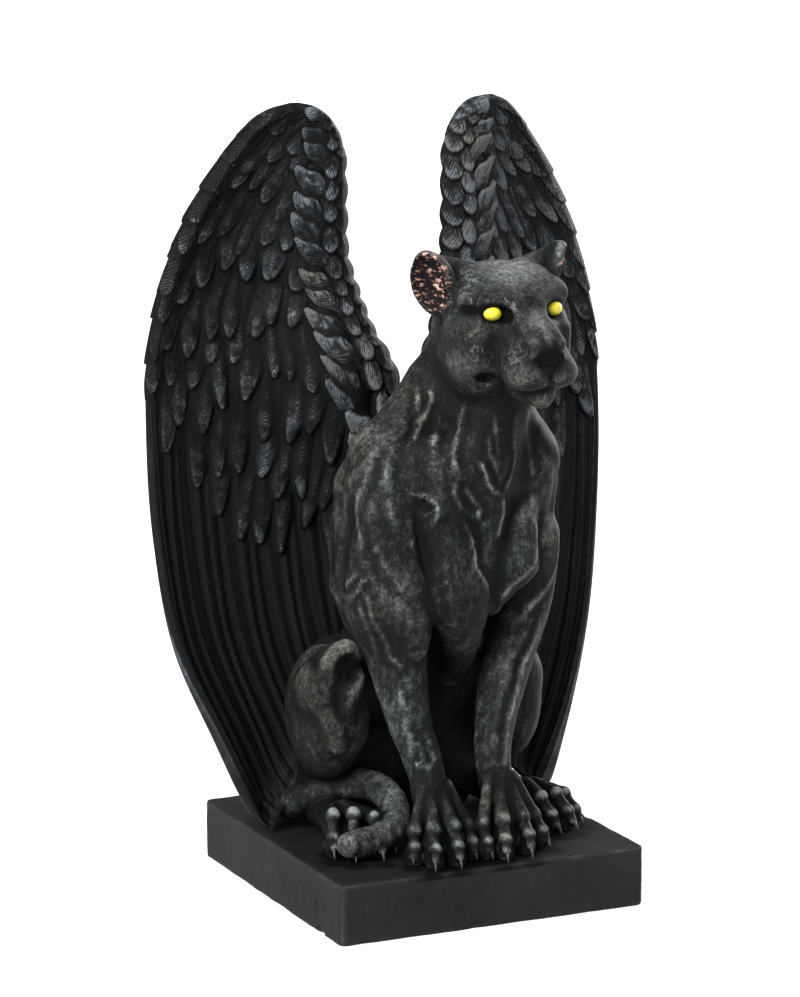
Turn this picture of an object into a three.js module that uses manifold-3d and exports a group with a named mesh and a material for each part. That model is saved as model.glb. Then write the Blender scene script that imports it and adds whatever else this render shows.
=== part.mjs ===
// A seated winged panther on a square block, a cast resin statue.
// Millimetres, +Z up. The origin is the middle of the block's underside, and the cat looks along -Y.
import * as THREE from 'three';
import { mergeVertices } from 'three/addons/utils/BufferGeometryUtils.js';
import Module from 'manifold-3d';

const wasm = await Module();
wasm.setup();

// The block
const BLOCK_WIDTH = 125;
const BLOCK_DEPTH = 131;
const BLOCK_HEIGHT = 23;
const BLOCK_CORNER = 3;
const BLOCK_WORN_EDGE = 0.8;

// The casting stands this far above the block's top
const SEAT_GAP = 0.3;
const GROUND = BLOCK_HEIGHT + SEAT_GAP;

// The two wings are alike, and stand behind the shoulders
const WING_TOP = 298;
const WING_TIP = GROUND + 1.5;
const WING_HALF_SPAN = 95.5;
const WING_THICKNESS = 4;
const WING_EDGE = 2.4;
const WING_BORDER = 0.2;
const WING_HOLLOW = 7;
const WING_ARM = 3;
const WING_ARM_WIDTH = 0.22;
const WING_ARM_END = 0.7;
const FULL_WIDTH = 16;
const WING_ROWS = 23;
const WING_COLUMNS = 14;
const QUILLS = 7;
const QUILL_HEIGHT = 1.3;
const COVERT_TIPS = [0.13, 0.23, 0.33, 0.44, 0.56];
const COVERT_STEP = 1.6;

// The wing's edges from its top to its tip: how far out, as a part of the half span, the place along Y,
// and how high, as a part of the wing's rise
const WING_OUTER = [
  [0.42, 24, 1], [0.60, 32, 0.965], [0.78, 36, 0.873], [0.90, 39, 0.78], [0.98, 40, 0.67], [1, 38, 0.54],
  [0.985, 35.5, 0.40], [0.925, 30, 0.25], [0.80, 20, 0.13], [0.66, 13, 0.02], [0.61, 10, 0],
];
const WING_INNER = [
  [0.42, 24, 1], [0.30, 24, 0.99], [0.215, 24, 0.945], [0.20, 24, 0.86], [0.17, 24, 0.763], [0.10, 16, 0.675],
  [0.05, 12, 0.60], [0.08, 16, 0.45], [0.14, 20, 0.30], [0.27, 21, 0.15], [0.45, 18, 0.06], [0.61, 10, 0],
];

// Rump, rib cage and withers, as eggs: centre, half-widths, and how softly each joins the rest
const TRUNK_EGGS = [
  { at: [0, 26, 58], halves: [29, 26, 36], reach: 8 },
  { at: [0, -16, 136], halves: [29, 34, 46], reach: 8 },
  { at: [1, -2, 164], halves: [22, 20, 22], reach: 8 },
];

// Loin, breastbone, and the back and front of the neck, as tapering limbs
const TRUNK_LIMBS = [
  { from: [0, 14, 78], to: [0, -6, 128], radii: [24, 26], reach: 10 },
  { from: [4, -38, 164], to: [2, -34, 126], radii: [19, 15], reach: 8 },
  { from: [3, -15, 172], to: [12, -31, 214], radii: [22, 21], reach: 8 },
  { from: [5, -32, 170], to: [12, -44, 202], radii: [17, 14], reach: 8 },
];

// Muscles that the cat has on both sides, outward from its middle
const UPPER_ARM = { at: [29, -14, 136], halves: [12, 17, 25], reach: 6 };
const THIGH = { at: [37, 4, 72], halves: [13, 19, 21], reach: 8 };
const GROIN = { at: [16, 14, 42], halves: [13, 14, 22], reach: 6 };

// The cat's joints, as points on its own right or left side
const SHOULDER_BLADE = { x: 15, y: -2, z: 174 };
const SHOULDER = { x: 30, y: -33, z: 155 };
const ELBOW = { x: 29, y: -25, z: 113 };
const WRIST = { x: 13, y: -43, z: 58 };
const FRONT_PAW = { x: 14.5, y: -45, z: 33 };
const HIP = { x: 20, y: 24, z: 74 };
const KNEE = { x: 38, y: -6, z: 80 };
const HEEL = { x: 36, y: 20, z: 31 };
const HIND_PAW = { x: 40, y: -19, z: 32 };
const WRIST_SHIFT = -4;
const FRONT_PAW_SHIFT = -2;

// A leg's radii at its joints, and the pad of each paw: how far it lies ahead of the joint, and its half-widths
const FORELEG_RADII = { blade: 11, shoulder: 14, elbow: 11.5, wrist: 7.4, paw: 8 };
const HIND_LEG_RADII = { hip: 22, knee: 12, shin: 10, heel: 7, paw: 6.5 };
const LEG_REACH = 6;
const PAW_REACH = 5;
const PAD_HEIGHT = 3;
const FRONT_PAD = { ahead: 5, halves: [12, 10, 8] };
const HIND_PAD = { ahead: 4, halves: [9, 11, 7] };

// Where each toe points, in degrees outward from straight ahead, and how far its knuckle is from the paw
const FRONT_TOES = [{ turn: -50, reach: 7 }, { turn: -14, reach: 12 }, { turn: 14, reach: 12 }, { turn: 50, reach: 7 }];
const HIND_TOES = [{ turn: -28, reach: 7 }, { turn: -6, reach: 11 }, { turn: 14, reach: 11 }, { turn: 36, reach: 7 }];
const KNUCKLE_RADIUS = 4;
const KNUCKLE_HEIGHT = 10;
const TOE_LENGTH = 6;
const CLAW_LENGTH = 7;
const CLAW_RADIUS = 1.5;
const TOE_SIDES = 6;
const CLAW_SIDES = 5;

const TAIL_RADIUS = 6.2;
const TAIL_TAPER = 1.3;
const TAIL_STEPS = 16;
const TAIL_REACH = 1.5;

// The tail's middle line, from the rump round the right haunch and over the hind paw
const TAIL_ROUTE = [
  [-8, 46, 38], [-28, 45, 31], [-41, 34, 30], [-46, 19, 31], [-40, 5, 38], [-30, -1, 42],
  [-23, -10, 42], [-22, -24, 38], [-29, -35, 32], [-39, -38, 30], [-47, -39, 30],
];

// The head, turned a little to the cat's left
const HEAD = { x: 12.3, y: -45, z: 222 };
const HEAD_TURN = 3;
const HEAD_NOD = 4;

// The head about its own middle: skull and muzzle, then bridge, jaw and nape
const HEAD_EGGS = [
  { at: [0, 6, 3], halves: [22, 24, 19], reach: 6 },
  { at: [0, -24, -9], halves: [13, 14, 10.5], reach: 6 },
];
const HEAD_LIMBS = [
  { from: [0, -8, 5], to: [0, -28, -6], radii: [13, 7], reach: 5 },
  { from: [0, -2, -16], to: [0, -27, -20], radii: [11, 6], reach: 5 },
  { from: [0, 6, -6], to: [-1, 18, -20], radii: [17, 17], reach: 6 },
];
const CHEEK = { at: [14, 0, -10], halves: [10, 17, 14], reach: 6 };
const WHISKER_PAD = { at: [7, -27, -12], halves: [7.5, 8, 7], reach: 4 };
const EAR = { at: [25, 9, 14.5], halves: [5.5, 9.2, 12.8], reach: 4 };
const EAR_HOLLOW = { at: [30, 5.5, 15.4], halves: [5.4, 7.4, 10.6], reach: 1 };
const EYE_SOCKET = { at: [12.5, -19, 5], halves: [5, 4, 3], reach: 3 };

// The size of the cells that each surface is worked out in, and the boxes they fill
const BODY_CELL = 7.5;
const BODY_BOX = { low: [-63, -68, 11], high: [63, 68, 247] };
const HEAD_CELL = 4.7;
const HEAD_BOX = { low: [-40, -46, -56], high: [40, 64, 38] };
const JOIN_DEPTH = 0.2;
const CUTTER_SIZE = 400;
const CUTTER_DEPTH = 40;

const vector = (x, y, z) => new THREE.Vector3(x, y, z);
const sided = (point, side, shift = 0) => vector(side * point.x + shift, point.y, point.z);
const egg = ({ at: [x, y, z], halves, reach }, side = 1) => muscle(vector(side * x, y, z), halves, reach);
const bone = ({ from, to, radii, reach }) => limb(vector(...from), vector(...to), ...radii, reach);

// A soft union of two distances
function blended(a, b, reach) {
  const overlap = Math.max(reach - Math.abs(a - b), 0) / reach;
  return Math.min(a, b) - (overlap * overlap * reach) / 4;
}

// A limb: a cone with round ends, from a to b
function limb(a, b, radiusA, radiusB, reach) {
  const axis = b.clone().sub(a);
  const length2 = axis.lengthSq();
  const taper = radiusA - radiusB;
  const slant2 = length2 - taper * taper;
  const from = vector(0, 0, 0);
  const distance = (p) => {
    from.copy(p).sub(a);
    const along = from.dot(axis);
    const beyond = along - length2;
    const off = from.multiplyScalar(length2).addScaledVector(axis, -along).lengthSq();
    const before2 = along * along * length2;
    const beyond2 = beyond * beyond * length2;
    const side = Math.sign(taper) * taper * taper * off;
    if (Math.sign(beyond) * slant2 * beyond2 > side) return Math.sqrt(off + beyond2) / length2 - radiusB;
    if (Math.sign(along) * slant2 * before2 < side) return Math.sqrt(off + before2) / length2 - radiusA;
    return (Math.sqrt((off * slant2) / length2) + along * taper) / length2 - radiusA;
  };
  return { distance, reach };
}

// A muscle: an egg with three half-widths
function muscle(centre, halves, reach) {
  const size = vector(...halves);
  const local = vector(0, 0, 0);
  const distance = (p) => {
    local.copy(p).sub(centre).divide(size);
    const scaled = local.length();
    const gradient = local.divide(size).length();
    return gradient < 1e-9 ? -Math.min(...halves) : (scaled * (scaled - 1)) / gradient;
  };
  return { distance, reach };
}

function fieldOf(shapes, hollows = []) {
  return (p) => {
    let depth = 1e3;
    for (const shape of shapes) depth = blended(depth, shape.distance(p), shape.reach);
    for (const hollow of hollows) depth = -blended(-depth, hollow.distance(p), hollow.reach);
    return depth;
  };
}

// Where two inside corners meet only across the diagonal of a grid face, one of the others joins them,
// so that every edge of the surface has just two faces
function joinDiagonals(depth, strides) {
  const [x, y, z] = strides;
  const faces = [[x, y], [y, z], [z, x]];
  let joined = 1;
  while (joined > 0) {
    joined = 0;
    for (let corner = 0; corner < depth.length - x - y - z; corner++) {
      for (const [u, v] of faces) {
        const ring = [corner, corner + u, corner + u + v, corner + v];
        const inside = ring.map((n) => depth[n] < 0);
        if (inside[0] !== inside[2] || inside[1] !== inside[3] || inside[0] === inside[1]) continue;
        const outer = ring.filter((n) => depth[n] >= 0);
        const nearest = depth[outer[0]] < depth[outer[1]] ? outer[0] : outer[1];
        depth[nearest] = -Math.max(depth[nearest], JOIN_DEPTH);
        joined++;
      }
    }
  }
}

// A closed surface round a field: a point in each cell that the surface passes through,
// and a face across each grid edge that it crosses
function skinOf(field, low, high, cell) {
  const count = ['x', 'y', 'z'].map((axis) => Math.ceil((high[axis] - low[axis]) / cell) + 1);
  const [nx, ny, nz] = count;
  const index = (i, j, k) => i + nx * (j + ny * k);
  const place = (i, j, k) => vector(low.x + i * cell, low.y + j * cell, low.z + k * cell);
  const depth = new Float64Array(nx * ny * nz);
  for (let k = 0; k < nz; k++) {
    for (let j = 0; j < ny; j++) {
      for (let i = 0; i < nx; i++) depth[index(i, j, k)] = field(place(i, j, k));
    }
  }
  joinDiagonals(depth, [1, nx, nx * ny]);
  const steps = [[1, 0, 0], [0, 1, 0], [0, 0, 1]];
  const positions = [];
  const pointOf = new Map();
  const pointIn = (i, j, k) => {
    const key = index(i, j, k);
    if (pointOf.has(key)) return pointOf.get(key);
    const middle = vector(0, 0, 0);
    let crossings = 0;
    steps.forEach(([a, b, c]) => {
      for (const m of [0, 1]) {
        for (const n of [0, 1]) {
          const start = a ? [i, j + m, k + n] : b ? [i + m, j, k + n] : [i + m, j + n, k];
          const end = [start[0] + a, start[1] + b, start[2] + c];
          const from = depth[index(...start)];
          const to = depth[index(...end)];
          if (from < 0 === to < 0) continue;
          middle.add(place(...start).lerp(place(...end), from / (from - to)));
          crossings++;
        }
      }
    });
    middle.divideScalar(crossings);
    pointOf.set(key, positions.length / 3);
    positions.push(middle.x, middle.y, middle.z);
    return pointOf.get(key);
  };
  const faces = [];
  for (let k = 1; k < nz - 1; k++) {
    for (let j = 1; j < ny - 1; j++) {
      for (let i = 1; i < nx - 1; i++) {
        steps.forEach(([a, b, c], axis) => {
          const inside = depth[index(i, j, k)] < 0;
          if (inside === depth[index(i + a, j + b, k + c)] < 0) return;
          const [u, v] = [steps[(axis + 1) % 3], steps[(axis + 2) % 3]];
          const corner = (m, n) =>
            pointIn(i - m * u[0] - n * v[0], j - m * u[1] - n * v[1], k - m * u[2] - n * v[2]);
          const ring = [corner(1, 1), corner(0, 1), corner(0, 0), corner(1, 0)];
          if (!inside) ring.reverse();
          faces.push(...twoTriangles(ring, positions));
        });
      }
    }
  }
  const geometry = new THREE.BufferGeometry();
  geometry.setAttribute('position', new THREE.Float32BufferAttribute(positions, 3));
  geometry.setIndex(faces);
  return geometry;
}

// A four-sided face as two triangles, split across its shorter diagonal
function twoTriangles([a, b, c, d], positions) {
  const at = (i) => vector(...positions.slice(3 * i, 3 * i + 3));
  const short = at(a).distanceTo(at(c)) < at(b).distanceTo(at(d));
  return short ? [a, b, c, a, c, d] : [a, b, d, b, c, d];
}

function solidOf(geometry) {
  geometry.deleteAttribute('normal');
  geometry.deleteAttribute('uv');
  const merged = mergeVertices(geometry, 1e-4);
  return new wasm.Manifold(new wasm.Mesh({
    numProp: 3,
    vertProperties: new Float32Array(merged.getAttribute('position').array),
    triVerts: new Uint32Array(merged.getIndex().array),
  }));
}

function geometryOf(solid) {
  const { vertProperties, triVerts } = solid.getMesh();
  const geometry = new THREE.BufferGeometry();
  geometry.setAttribute('position', new THREE.BufferAttribute(vertProperties, 3));
  geometry.setIndex(new THREE.BufferAttribute(triVerts, 1));
  return geometry;
}

function forelegShapes(side) {
  const radii = FORELEG_RADII;
  const shoulder = sided(SHOULDER, side);
  const elbow = sided(ELBOW, side);
  const wrist = sided(WRIST, side, WRIST_SHIFT);
  const paw = sided(FRONT_PAW, side, FRONT_PAW_SHIFT);
  return [
    limb(sided(SHOULDER_BLADE, side), shoulder, radii.blade, radii.shoulder, LEG_REACH),
    limb(shoulder, elbow, radii.shoulder, radii.elbow, LEG_REACH),
    egg(UPPER_ARM, side),
    limb(elbow, wrist, radii.elbow, radii.wrist, LEG_REACH),
    limb(wrist, paw, radii.wrist, radii.paw, PAW_REACH),
    padUnder(paw, FRONT_PAD),
  ];
}

function hindLegShapes(side) {
  const radii = HIND_LEG_RADII;
  const knee = sided(KNEE, side);
  const heel = sided(HEEL, side);
  const paw = sided(HIND_PAW, side);
  return [
    limb(sided(HIP, side), knee, radii.hip, radii.knee, LEG_REACH),
    egg(THIGH, side),
    egg(GROIN, side),
    limb(knee, heel, radii.shin, radii.heel, LEG_REACH),
    limb(heel, paw, radii.heel, radii.paw, PAW_REACH),
    padUnder(paw, HIND_PAD),
  ];
}

function padUnder(paw, { ahead, halves }) {
  return muscle(vector(paw.x, paw.y - ahead, GROUND + PAD_HEIGHT), halves, PAW_REACH);
}

// The tail as a chain of short limbs that get thinner towards its tip
function tailShapes() {
  const route = new THREE.CatmullRomCurve3(TAIL_ROUTE.map((point) => vector(...point)));
  const points = route.getSpacedPoints(TAIL_STEPS);
  const radius = (i) => TAIL_RADIUS - (i * TAIL_TAPER) / TAIL_STEPS;
  return points.slice(1).map((end, i) => limb(points[i], end, radius(i), radius(i + 1), TAIL_REACH));
}

function bodySolid() {
  const shapes = [...TRUNK_EGGS.map((part) => egg(part)), ...TRUNK_LIMBS.map(bone), ...tailShapes()];
  for (const side of [-1, 1]) shapes.push(...forelegShapes(side), ...hindLegShapes(side));
  const { low, high } = BODY_BOX;
  return solidOf(skinOf(fieldOf(shapes), vector(...low), vector(...high), BODY_CELL));
}

// The head is made about its own middle and then set on the neck
function headSolid() {
  const shapes = [...HEAD_EGGS.map((part) => egg(part)), ...HEAD_LIMBS.map(bone)];
  const hollows = [];
  for (const side of [-1, 1]) {
    shapes.push(egg(CHEEK, side), egg(WHISKER_PAD, side), egg(EAR, side));
    hollows.push(egg(EAR_HOLLOW, side), egg(EYE_SOCKET, side));
  }
  const { low, high } = HEAD_BOX;
  const solid = solidOf(skinOf(fieldOf(shapes, hollows), vector(...low), vector(...high), HEAD_CELL));
  return solid.rotate([HEAD_NOD, 0, HEAD_TURN]).translate([HEAD.x, HEAD.y, HEAD.z]);
}

// One toe: a bone that slopes from its knuckle down to the ground, and the claw at its end
function toeSolids(paw, heading, reach) {
  const turn = THREE.MathUtils.degToRad(heading);
  const ahead = vector(Math.sin(turn), -Math.cos(turn), 0);
  const slope = ahead.clone().setZ(-1).normalize();
  const lean = new THREE.Quaternion().setFromUnitVectors(vector(0, 1, 0), slope);
  const knuckle = paw.clone().setZ(GROUND + KNUCKLE_HEIGHT).addScaledVector(ahead, reach);
  const toe = new THREE.CapsuleGeometry(KNUCKLE_RADIUS, TOE_LENGTH, 1, TOE_SIDES);
  const claw = new THREE.ConeGeometry(CLAW_RADIUS, CLAW_LENGTH, CLAW_SIDES);
  const placed = [[toe, TOE_LENGTH / 2], [claw, TOE_LENGTH + CLAW_LENGTH / 2]];
  return placed.map(([geometry, along]) => {
    geometry.applyQuaternion(lean);
    geometry.translate(...knuckle.clone().addScaledVector(slope, along));
    return solidOf(geometry);
  });
}

function pawSolids() {
  const solids = [];
  for (const side of [-1, 1]) {
    const front = sided(FRONT_PAW, side, FRONT_PAW_SHIFT);
    const hind = sided(HIND_PAW, side);
    for (const { turn, reach } of FRONT_TOES) solids.push(...toeSolids(front, side * turn, reach));
    for (const { turn, reach } of HIND_TOES) solids.push(...toeSolids(hind, side * turn, reach));
  }
  return solids;
}

// The wing's two edges, from its top to its tip, on the side given
function wingEdges(side) {
  const rise = WING_TOP - WING_TIP;
  const through = (places) => {
    const points = places.map(([out, y, up]) => vector(side * out * WING_HALF_SPAN, y, WING_TIP + up * rise));
    return new THREE.CatmullRomCurve3(points, false, 'centripetal');
  };
  return { outer: through(WING_OUTER), inner: through(WING_INNER) };
}

// How far the feathers stand out of the wing: rows of coverts that lap over each other, then long quills
function featherRelief(down, across) {
  const row = COVERT_TIPS.findIndex((tip) => down < tip);
  if (row < 0) return QUILL_HEIGHT * Math.abs(Math.cos(across * Math.PI * QUILLS));
  const start = row > 0 ? COVERT_TIPS[row - 1] : 0;
  return (COVERT_STEP * (down - start)) / (COVERT_TIPS[row] - start);
}

// Half the wing's thickness: thin at both edges, with the arm's bones along the leading one
function wingHalf(down, across) {
  const inward = Math.min(1, Math.min(across, 1 - across) / WING_BORDER);
  const plate = (WING_EDGE + (WING_THICKNESS - WING_EDGE) * inward) / 2;
  const nearArm = Math.max(0, 1 - Math.abs(across - WING_ARM_WIDTH / 2) / WING_ARM_WIDTH);
  const arm = WING_ARM * nearArm * Math.max(0, 1 - down / WING_ARM_END);
  return plate + arm + inward * featherRelief(down, across);
}

function wingSolid(side) {
  const { outer, inner } = wingEdges(side);
  const positions = [];
  const faces = [];
  const row = WING_COLUMNS + 1;
  const sheet = (WING_ROWS - 1) * row;
  for (const face of [-1, 1]) {
    for (let i = 1; i < WING_ROWS; i++) {
      const down = i / WING_ROWS;
      const from = inner.getPointAt(down);
      const to = outer.getPointAt(down);
      const width = Math.min(1, from.distanceTo(to) / FULL_WIDTH);
      for (let j = 0; j <= WING_COLUMNS; j++) {
        const across = j / WING_COLUMNS;
        const point = from.clone().lerp(to, across);
        point.y += WING_HOLLOW * 4 * across * (1 - across) * width + face * wingHalf(down, across) * width;
        positions.push(point.x, point.y, point.z);
      }
    }
  }
  const top = positions.length / 3;
  for (const end of [inner.getPoint(0), inner.getPoint(1)]) positions.push(end.x, end.y, end.z);
  const quad = (a, b, c, d) => faces.push(a, b, c, a, c, d);
  for (let i = 0; i < WING_ROWS - 2; i++) {
    for (let j = 0; j < WING_COLUMNS; j++) {
      const a = i * row + j;
      quad(a, a + row, a + row + 1, a + 1);
      quad(sheet + a, sheet + a + 1, sheet + a + row + 1, sheet + a + row);
    }
    for (const j of [0, WING_COLUMNS]) {
      const a = i * row + j;
      const ring = [a, sheet + a, sheet + a + row, a + row];
      if (j > 0) ring.reverse();
      quad(...ring);
    }
  }
  const last = (WING_ROWS - 2) * row;
  for (let j = 0; j < WING_COLUMNS; j++) {
    faces.push(top, j, j + 1, top, sheet + j + 1, sheet + j);
    faces.push(top + 1, last + j + 1, last + j, top + 1, sheet + last + j, sheet + last + j + 1);
  }
  faces.push(top, sheet, 0, top, WING_COLUMNS, sheet + WING_COLUMNS);
  const end = last + WING_COLUMNS;
  faces.push(top + 1, last, sheet + last, top + 1, sheet + end, end);
  if (side < 0) faces.reverse();
  const geometry = new THREE.BufferGeometry();
  geometry.setAttribute('position', new THREE.Float32BufferAttribute(positions, 3));
  geometry.setIndex(faces);
  return solidOf(geometry);
}

// Everything below the ground is cut off flat
function groundCutter() {
  const slab = new THREE.BoxGeometry(CUTTER_SIZE, CUTTER_SIZE, CUTTER_DEPTH);
  slab.translate(0, 0, GROUND - CUTTER_DEPTH / 2);
  return solidOf(slab);
}

function figure() {
  let solid = bodySolid().add(headSolid());
  for (const part of pawSolids()) solid = solid.add(part);
  for (const side of [-1, 1]) solid = solid.add(wingSolid(side));
  return geometryOf(solid.subtract(groundCutter()));
}

function block() {
  const half = { x: BLOCK_WIDTH / 2 - BLOCK_WORN_EDGE, y: BLOCK_DEPTH / 2 - BLOCK_WORN_EDGE };
  const outline = new THREE.Shape();
  const corner = BLOCK_CORNER;
  outline.absarc(half.x - corner, half.y - corner, corner, 0, Math.PI / 2);
  outline.absarc(corner - half.x, half.y - corner, corner, Math.PI / 2, Math.PI);
  outline.absarc(corner - half.x, corner - half.y, corner, Math.PI, 1.5 * Math.PI);
  outline.absarc(half.x - corner, corner - half.y, corner, 1.5 * Math.PI, 2 * Math.PI);
  const geometry = new THREE.ExtrudeGeometry(outline, {
    depth: BLOCK_HEIGHT - 2 * BLOCK_WORN_EDGE,
    bevelThickness: BLOCK_WORN_EDGE,
    bevelSize: BLOCK_WORN_EDGE,
    bevelSegments: 1,
    curveSegments: 3,
  });
  geometry.translate(0, 0, BLOCK_WORN_EDGE);
  return geometryOf(solidOf(geometry));
}

function piece(name, geometry, color, roughness) {
  const mesh = new THREE.Mesh(geometry, new THREE.MeshStandardMaterial({ color, roughness, metalness: 0 }));
  mesh.name = name;
  return mesh;
}

const group = new THREE.Group();
group.add(piece('figure', figure(), 0x3a3d3e, 0.55));
group.add(piece('plinth', block(), 0x2c2b29, 0.7));

export default group;
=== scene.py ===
import math

import bpy
import numpy as np
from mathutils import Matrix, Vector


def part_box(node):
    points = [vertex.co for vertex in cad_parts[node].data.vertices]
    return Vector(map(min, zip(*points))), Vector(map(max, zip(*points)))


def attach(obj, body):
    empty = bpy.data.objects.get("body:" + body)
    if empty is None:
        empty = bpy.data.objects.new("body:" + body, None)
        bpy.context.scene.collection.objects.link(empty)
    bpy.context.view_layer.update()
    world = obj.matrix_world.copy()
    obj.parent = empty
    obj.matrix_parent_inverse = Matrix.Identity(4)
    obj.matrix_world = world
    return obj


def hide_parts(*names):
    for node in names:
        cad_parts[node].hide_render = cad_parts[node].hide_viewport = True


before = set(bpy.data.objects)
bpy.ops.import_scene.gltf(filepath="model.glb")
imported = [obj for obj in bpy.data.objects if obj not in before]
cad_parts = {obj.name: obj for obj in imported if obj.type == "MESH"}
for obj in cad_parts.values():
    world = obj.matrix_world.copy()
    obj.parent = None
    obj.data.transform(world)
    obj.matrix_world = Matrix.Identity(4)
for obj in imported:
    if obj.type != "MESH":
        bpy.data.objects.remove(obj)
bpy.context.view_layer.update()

import openvdb
from mathutils import Matrix, Vector

# A seated winged panther on a square block. Shapes are worked out in millimetres and made in metres.
MM = 0.001
BODY_CELL = 0.5
BODY_LOW = np.array([-66.0, -90.0, 20.0])
BODY_HIGH = np.array([66.0, 56.0, 252.0])
FAR = 30.0
TUBE_REACH = 1.5
GROUND = 23.3
MOST_TRIANGLES = 190000

# The head sits on the neck, turned a little to the cat's left
HEAD = np.array([12.3, -45.0, 222.0])
HEAD_TURN = 3.0
HEAD_NOD = 4.0


def point(*xyz):
    return np.array(xyz, float)


def turned(degrees):
    """The matrix that turns about X, then Y, then Z."""
    made = np.eye(3)
    for axis, angle in enumerate(np.radians(degrees)):
        u, v = [(1, 2), (2, 0), (0, 1)][axis]
        turn = np.eye(3)
        turn[u, u] = turn[v, v] = math.cos(angle)
        turn[u, v] = -math.sin(angle)
        turn[v, u] = math.sin(angle)
        made = turn @ made
    return made


class Clay:
    """A block of clay as distances on a grid: below nought is inside."""

    def __init__(self, low, high, cell):
        self.cell = cell
        count = np.ceil((high - low) / cell).astype(int) + 1
        self.axes = [low[i] + cell * np.arange(count[i]) for i in range(3)]
        self.depth = np.full(count, FAR, np.float32)
        self.low = low

    def part(self, low, high):
        """The slices of the grid between two corners, and the coordinates there."""
        spans = []
        for axis, a, b in zip(self.axes, low, high):
            first, last = np.searchsorted(axis, [a, b])
            spans.append(slice(max(first - 1, 0), min(last + 1, len(axis))))
        grid = [axis[span].astype(np.float32) for axis, span in zip(self.axes, spans)]
        return tuple(spans), np.meshgrid(*grid, indexing="ij", sparse=True)

    def put(self, shape):
        distance, low, high, reach, carve = shape
        margin = reach + 2 * self.cell
        spans, grid = self.part(low - margin, high + margin)
        here = self.depth[spans]
        if here.size == 0:
            return
        new = distance(*grid)
        old = -here if carve else here
        overlap = np.maximum(reach - np.abs(old - new), 0) / reach
        joined = np.minimum(old, new) - overlap * overlap * reach / 4
        self.depth[spans] = -joined if carve else joined


def limb(a, b, radius_a, radius_b, reach=3.0, carve=False):
    """A cone with round ends, from a to b."""
    a, b = np.asarray(a, float), np.asarray(b, float)
    axis = b - a
    length2 = float(axis @ axis)

    def distance(x, y, z):
        dx, dy, dz = x - a[0], y - a[1], z - a[2]
        along = np.clip((dx * axis[0] + dy * axis[1] + dz * axis[2]) / length2, 0, 1)
        ex, ey, ez = dx - along * axis[0], dy - along * axis[1], dz - along * axis[2]
        away = np.sqrt(ex * ex + ey * ey + ez * ez)
        return away - (radius_a + along * (radius_b - radius_a))

    widest = max(radius_a, radius_b)
    return distance, np.minimum(a, b) - widest, np.maximum(a, b) + widest, reach, carve


def muscle(centre, halves, reach=3.0, turn=(0, 0, 0), carve=False):
    """An egg with three half-widths, turned by degrees about X, Y and Z."""
    centre, halves = np.asarray(centre, float), np.asarray(halves, float)
    undo = turned(turn).T

    def distance(x, y, z):
        dx, dy, dz = x - centre[0], y - centre[1], z - centre[2]
        local = [undo[i, 0] * dx + undo[i, 1] * dy + undo[i, 2] * dz for i in range(3)]
        scaled = sum((local[i] / halves[i]) ** 2 for i in range(3))
        steep = sum((local[i] / halves[i] ** 2) ** 2 for i in range(3))
        size = np.sqrt(scaled)
        return size * (size - 1) / np.sqrt(np.maximum(steep, 1e-9))

    widest = np.abs(undo.T) @ halves
    return distance, centre - widest, centre + widest, reach, carve


def tube(points, radii, reach=3.0):
    """A bent limb through points, with a radius at each."""
    count = 3 * len(points)
    route = curve_through(np.column_stack([points, radii]), count)
    parts = [limb(route[i, :3], route[i + 1, :3], route[i, 3], route[i + 1, 3]) for i in range(count - 1)]

    def distance(x, y, z):
        nearest = parts[0][0](x, y, z)
        for part in parts[1:]:
            new = part[0](x, y, z)
            overlap = np.maximum(TUBE_REACH - np.abs(nearest - new), 0) / TUBE_REACH
            nearest = np.minimum(nearest, new) - overlap * overlap * TUBE_REACH / 4
        return nearest

    low = np.min([part[1] for part in parts], axis=0)
    high = np.max([part[2] for part in parts], axis=0)
    return distance, low, high, reach, False


def curve_through(points, count, alpha=0.5):
    """Points spaced evenly along a Catmull-Rom curve, centripetal unless alpha says otherwise."""
    p = np.asarray(points, float)
    p = np.vstack([2 * p[0] - p[1], p, 2 * p[-1] - p[-2]])
    made = []
    for i in range(1, len(p) - 2):
        a, b, c, d = p[i - 1:i + 3]
        gaps = [max(np.linalg.norm(v - u) ** alpha, 1e-6) for u, v in ((a, b), (b, c), (c, d))]
        start = (b - a) / gaps[0] - (c - a) / (gaps[0] + gaps[1]) + (c - b) / gaps[1]
        end = (c - b) / gaps[1] - (d - b) / (gaps[1] + gaps[2]) + (d - c) / gaps[2]
        start, end = start * gaps[1], end * gaps[1]
        t = np.linspace(0, 1, 60, endpoint=False)[:, None]
        made.append(b + start * t + (3 * (c - b) - 2 * start - end) * t ** 2 + (2 * (b - c) + start + end) * t ** 3)
    made = np.vstack(made + [p[-2][None]])
    run = np.concatenate([[0], np.cumsum(np.linalg.norm(np.diff(made, axis=0), axis=1))])
    wanted = np.linspace(0, run[-1], count)
    return np.stack([np.interp(wanted, run, made[:, k]) for k in range(made.shape[1])], 1)


# The trunk and the neck
TRUNK = [
    muscle((0, 26, 58), (29, 26, 36), 8),
    limb((0, 14, 78), (0, -6, 128), 24, 26, 10),
    muscle((0, -13, 138), (28, 32, 42), 8),
    muscle((1, -2, 164), (22, 20, 22), 8),
    limb((3, -15, 172), (12, -31, 214), 20.5, 19.5, 8),
    limb((6, -34, 168), (13, -44, 202), 15, 13, 6),
    limb((5, -38, 170), (4, -38, 130), 13, 10, 6),
    limb((15, -34, 196), (29, -30, 170), 8, 12, 6),
    limb((-6, -22, 196), (-22, -22, 172), 10, 13, 6),
]

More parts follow.
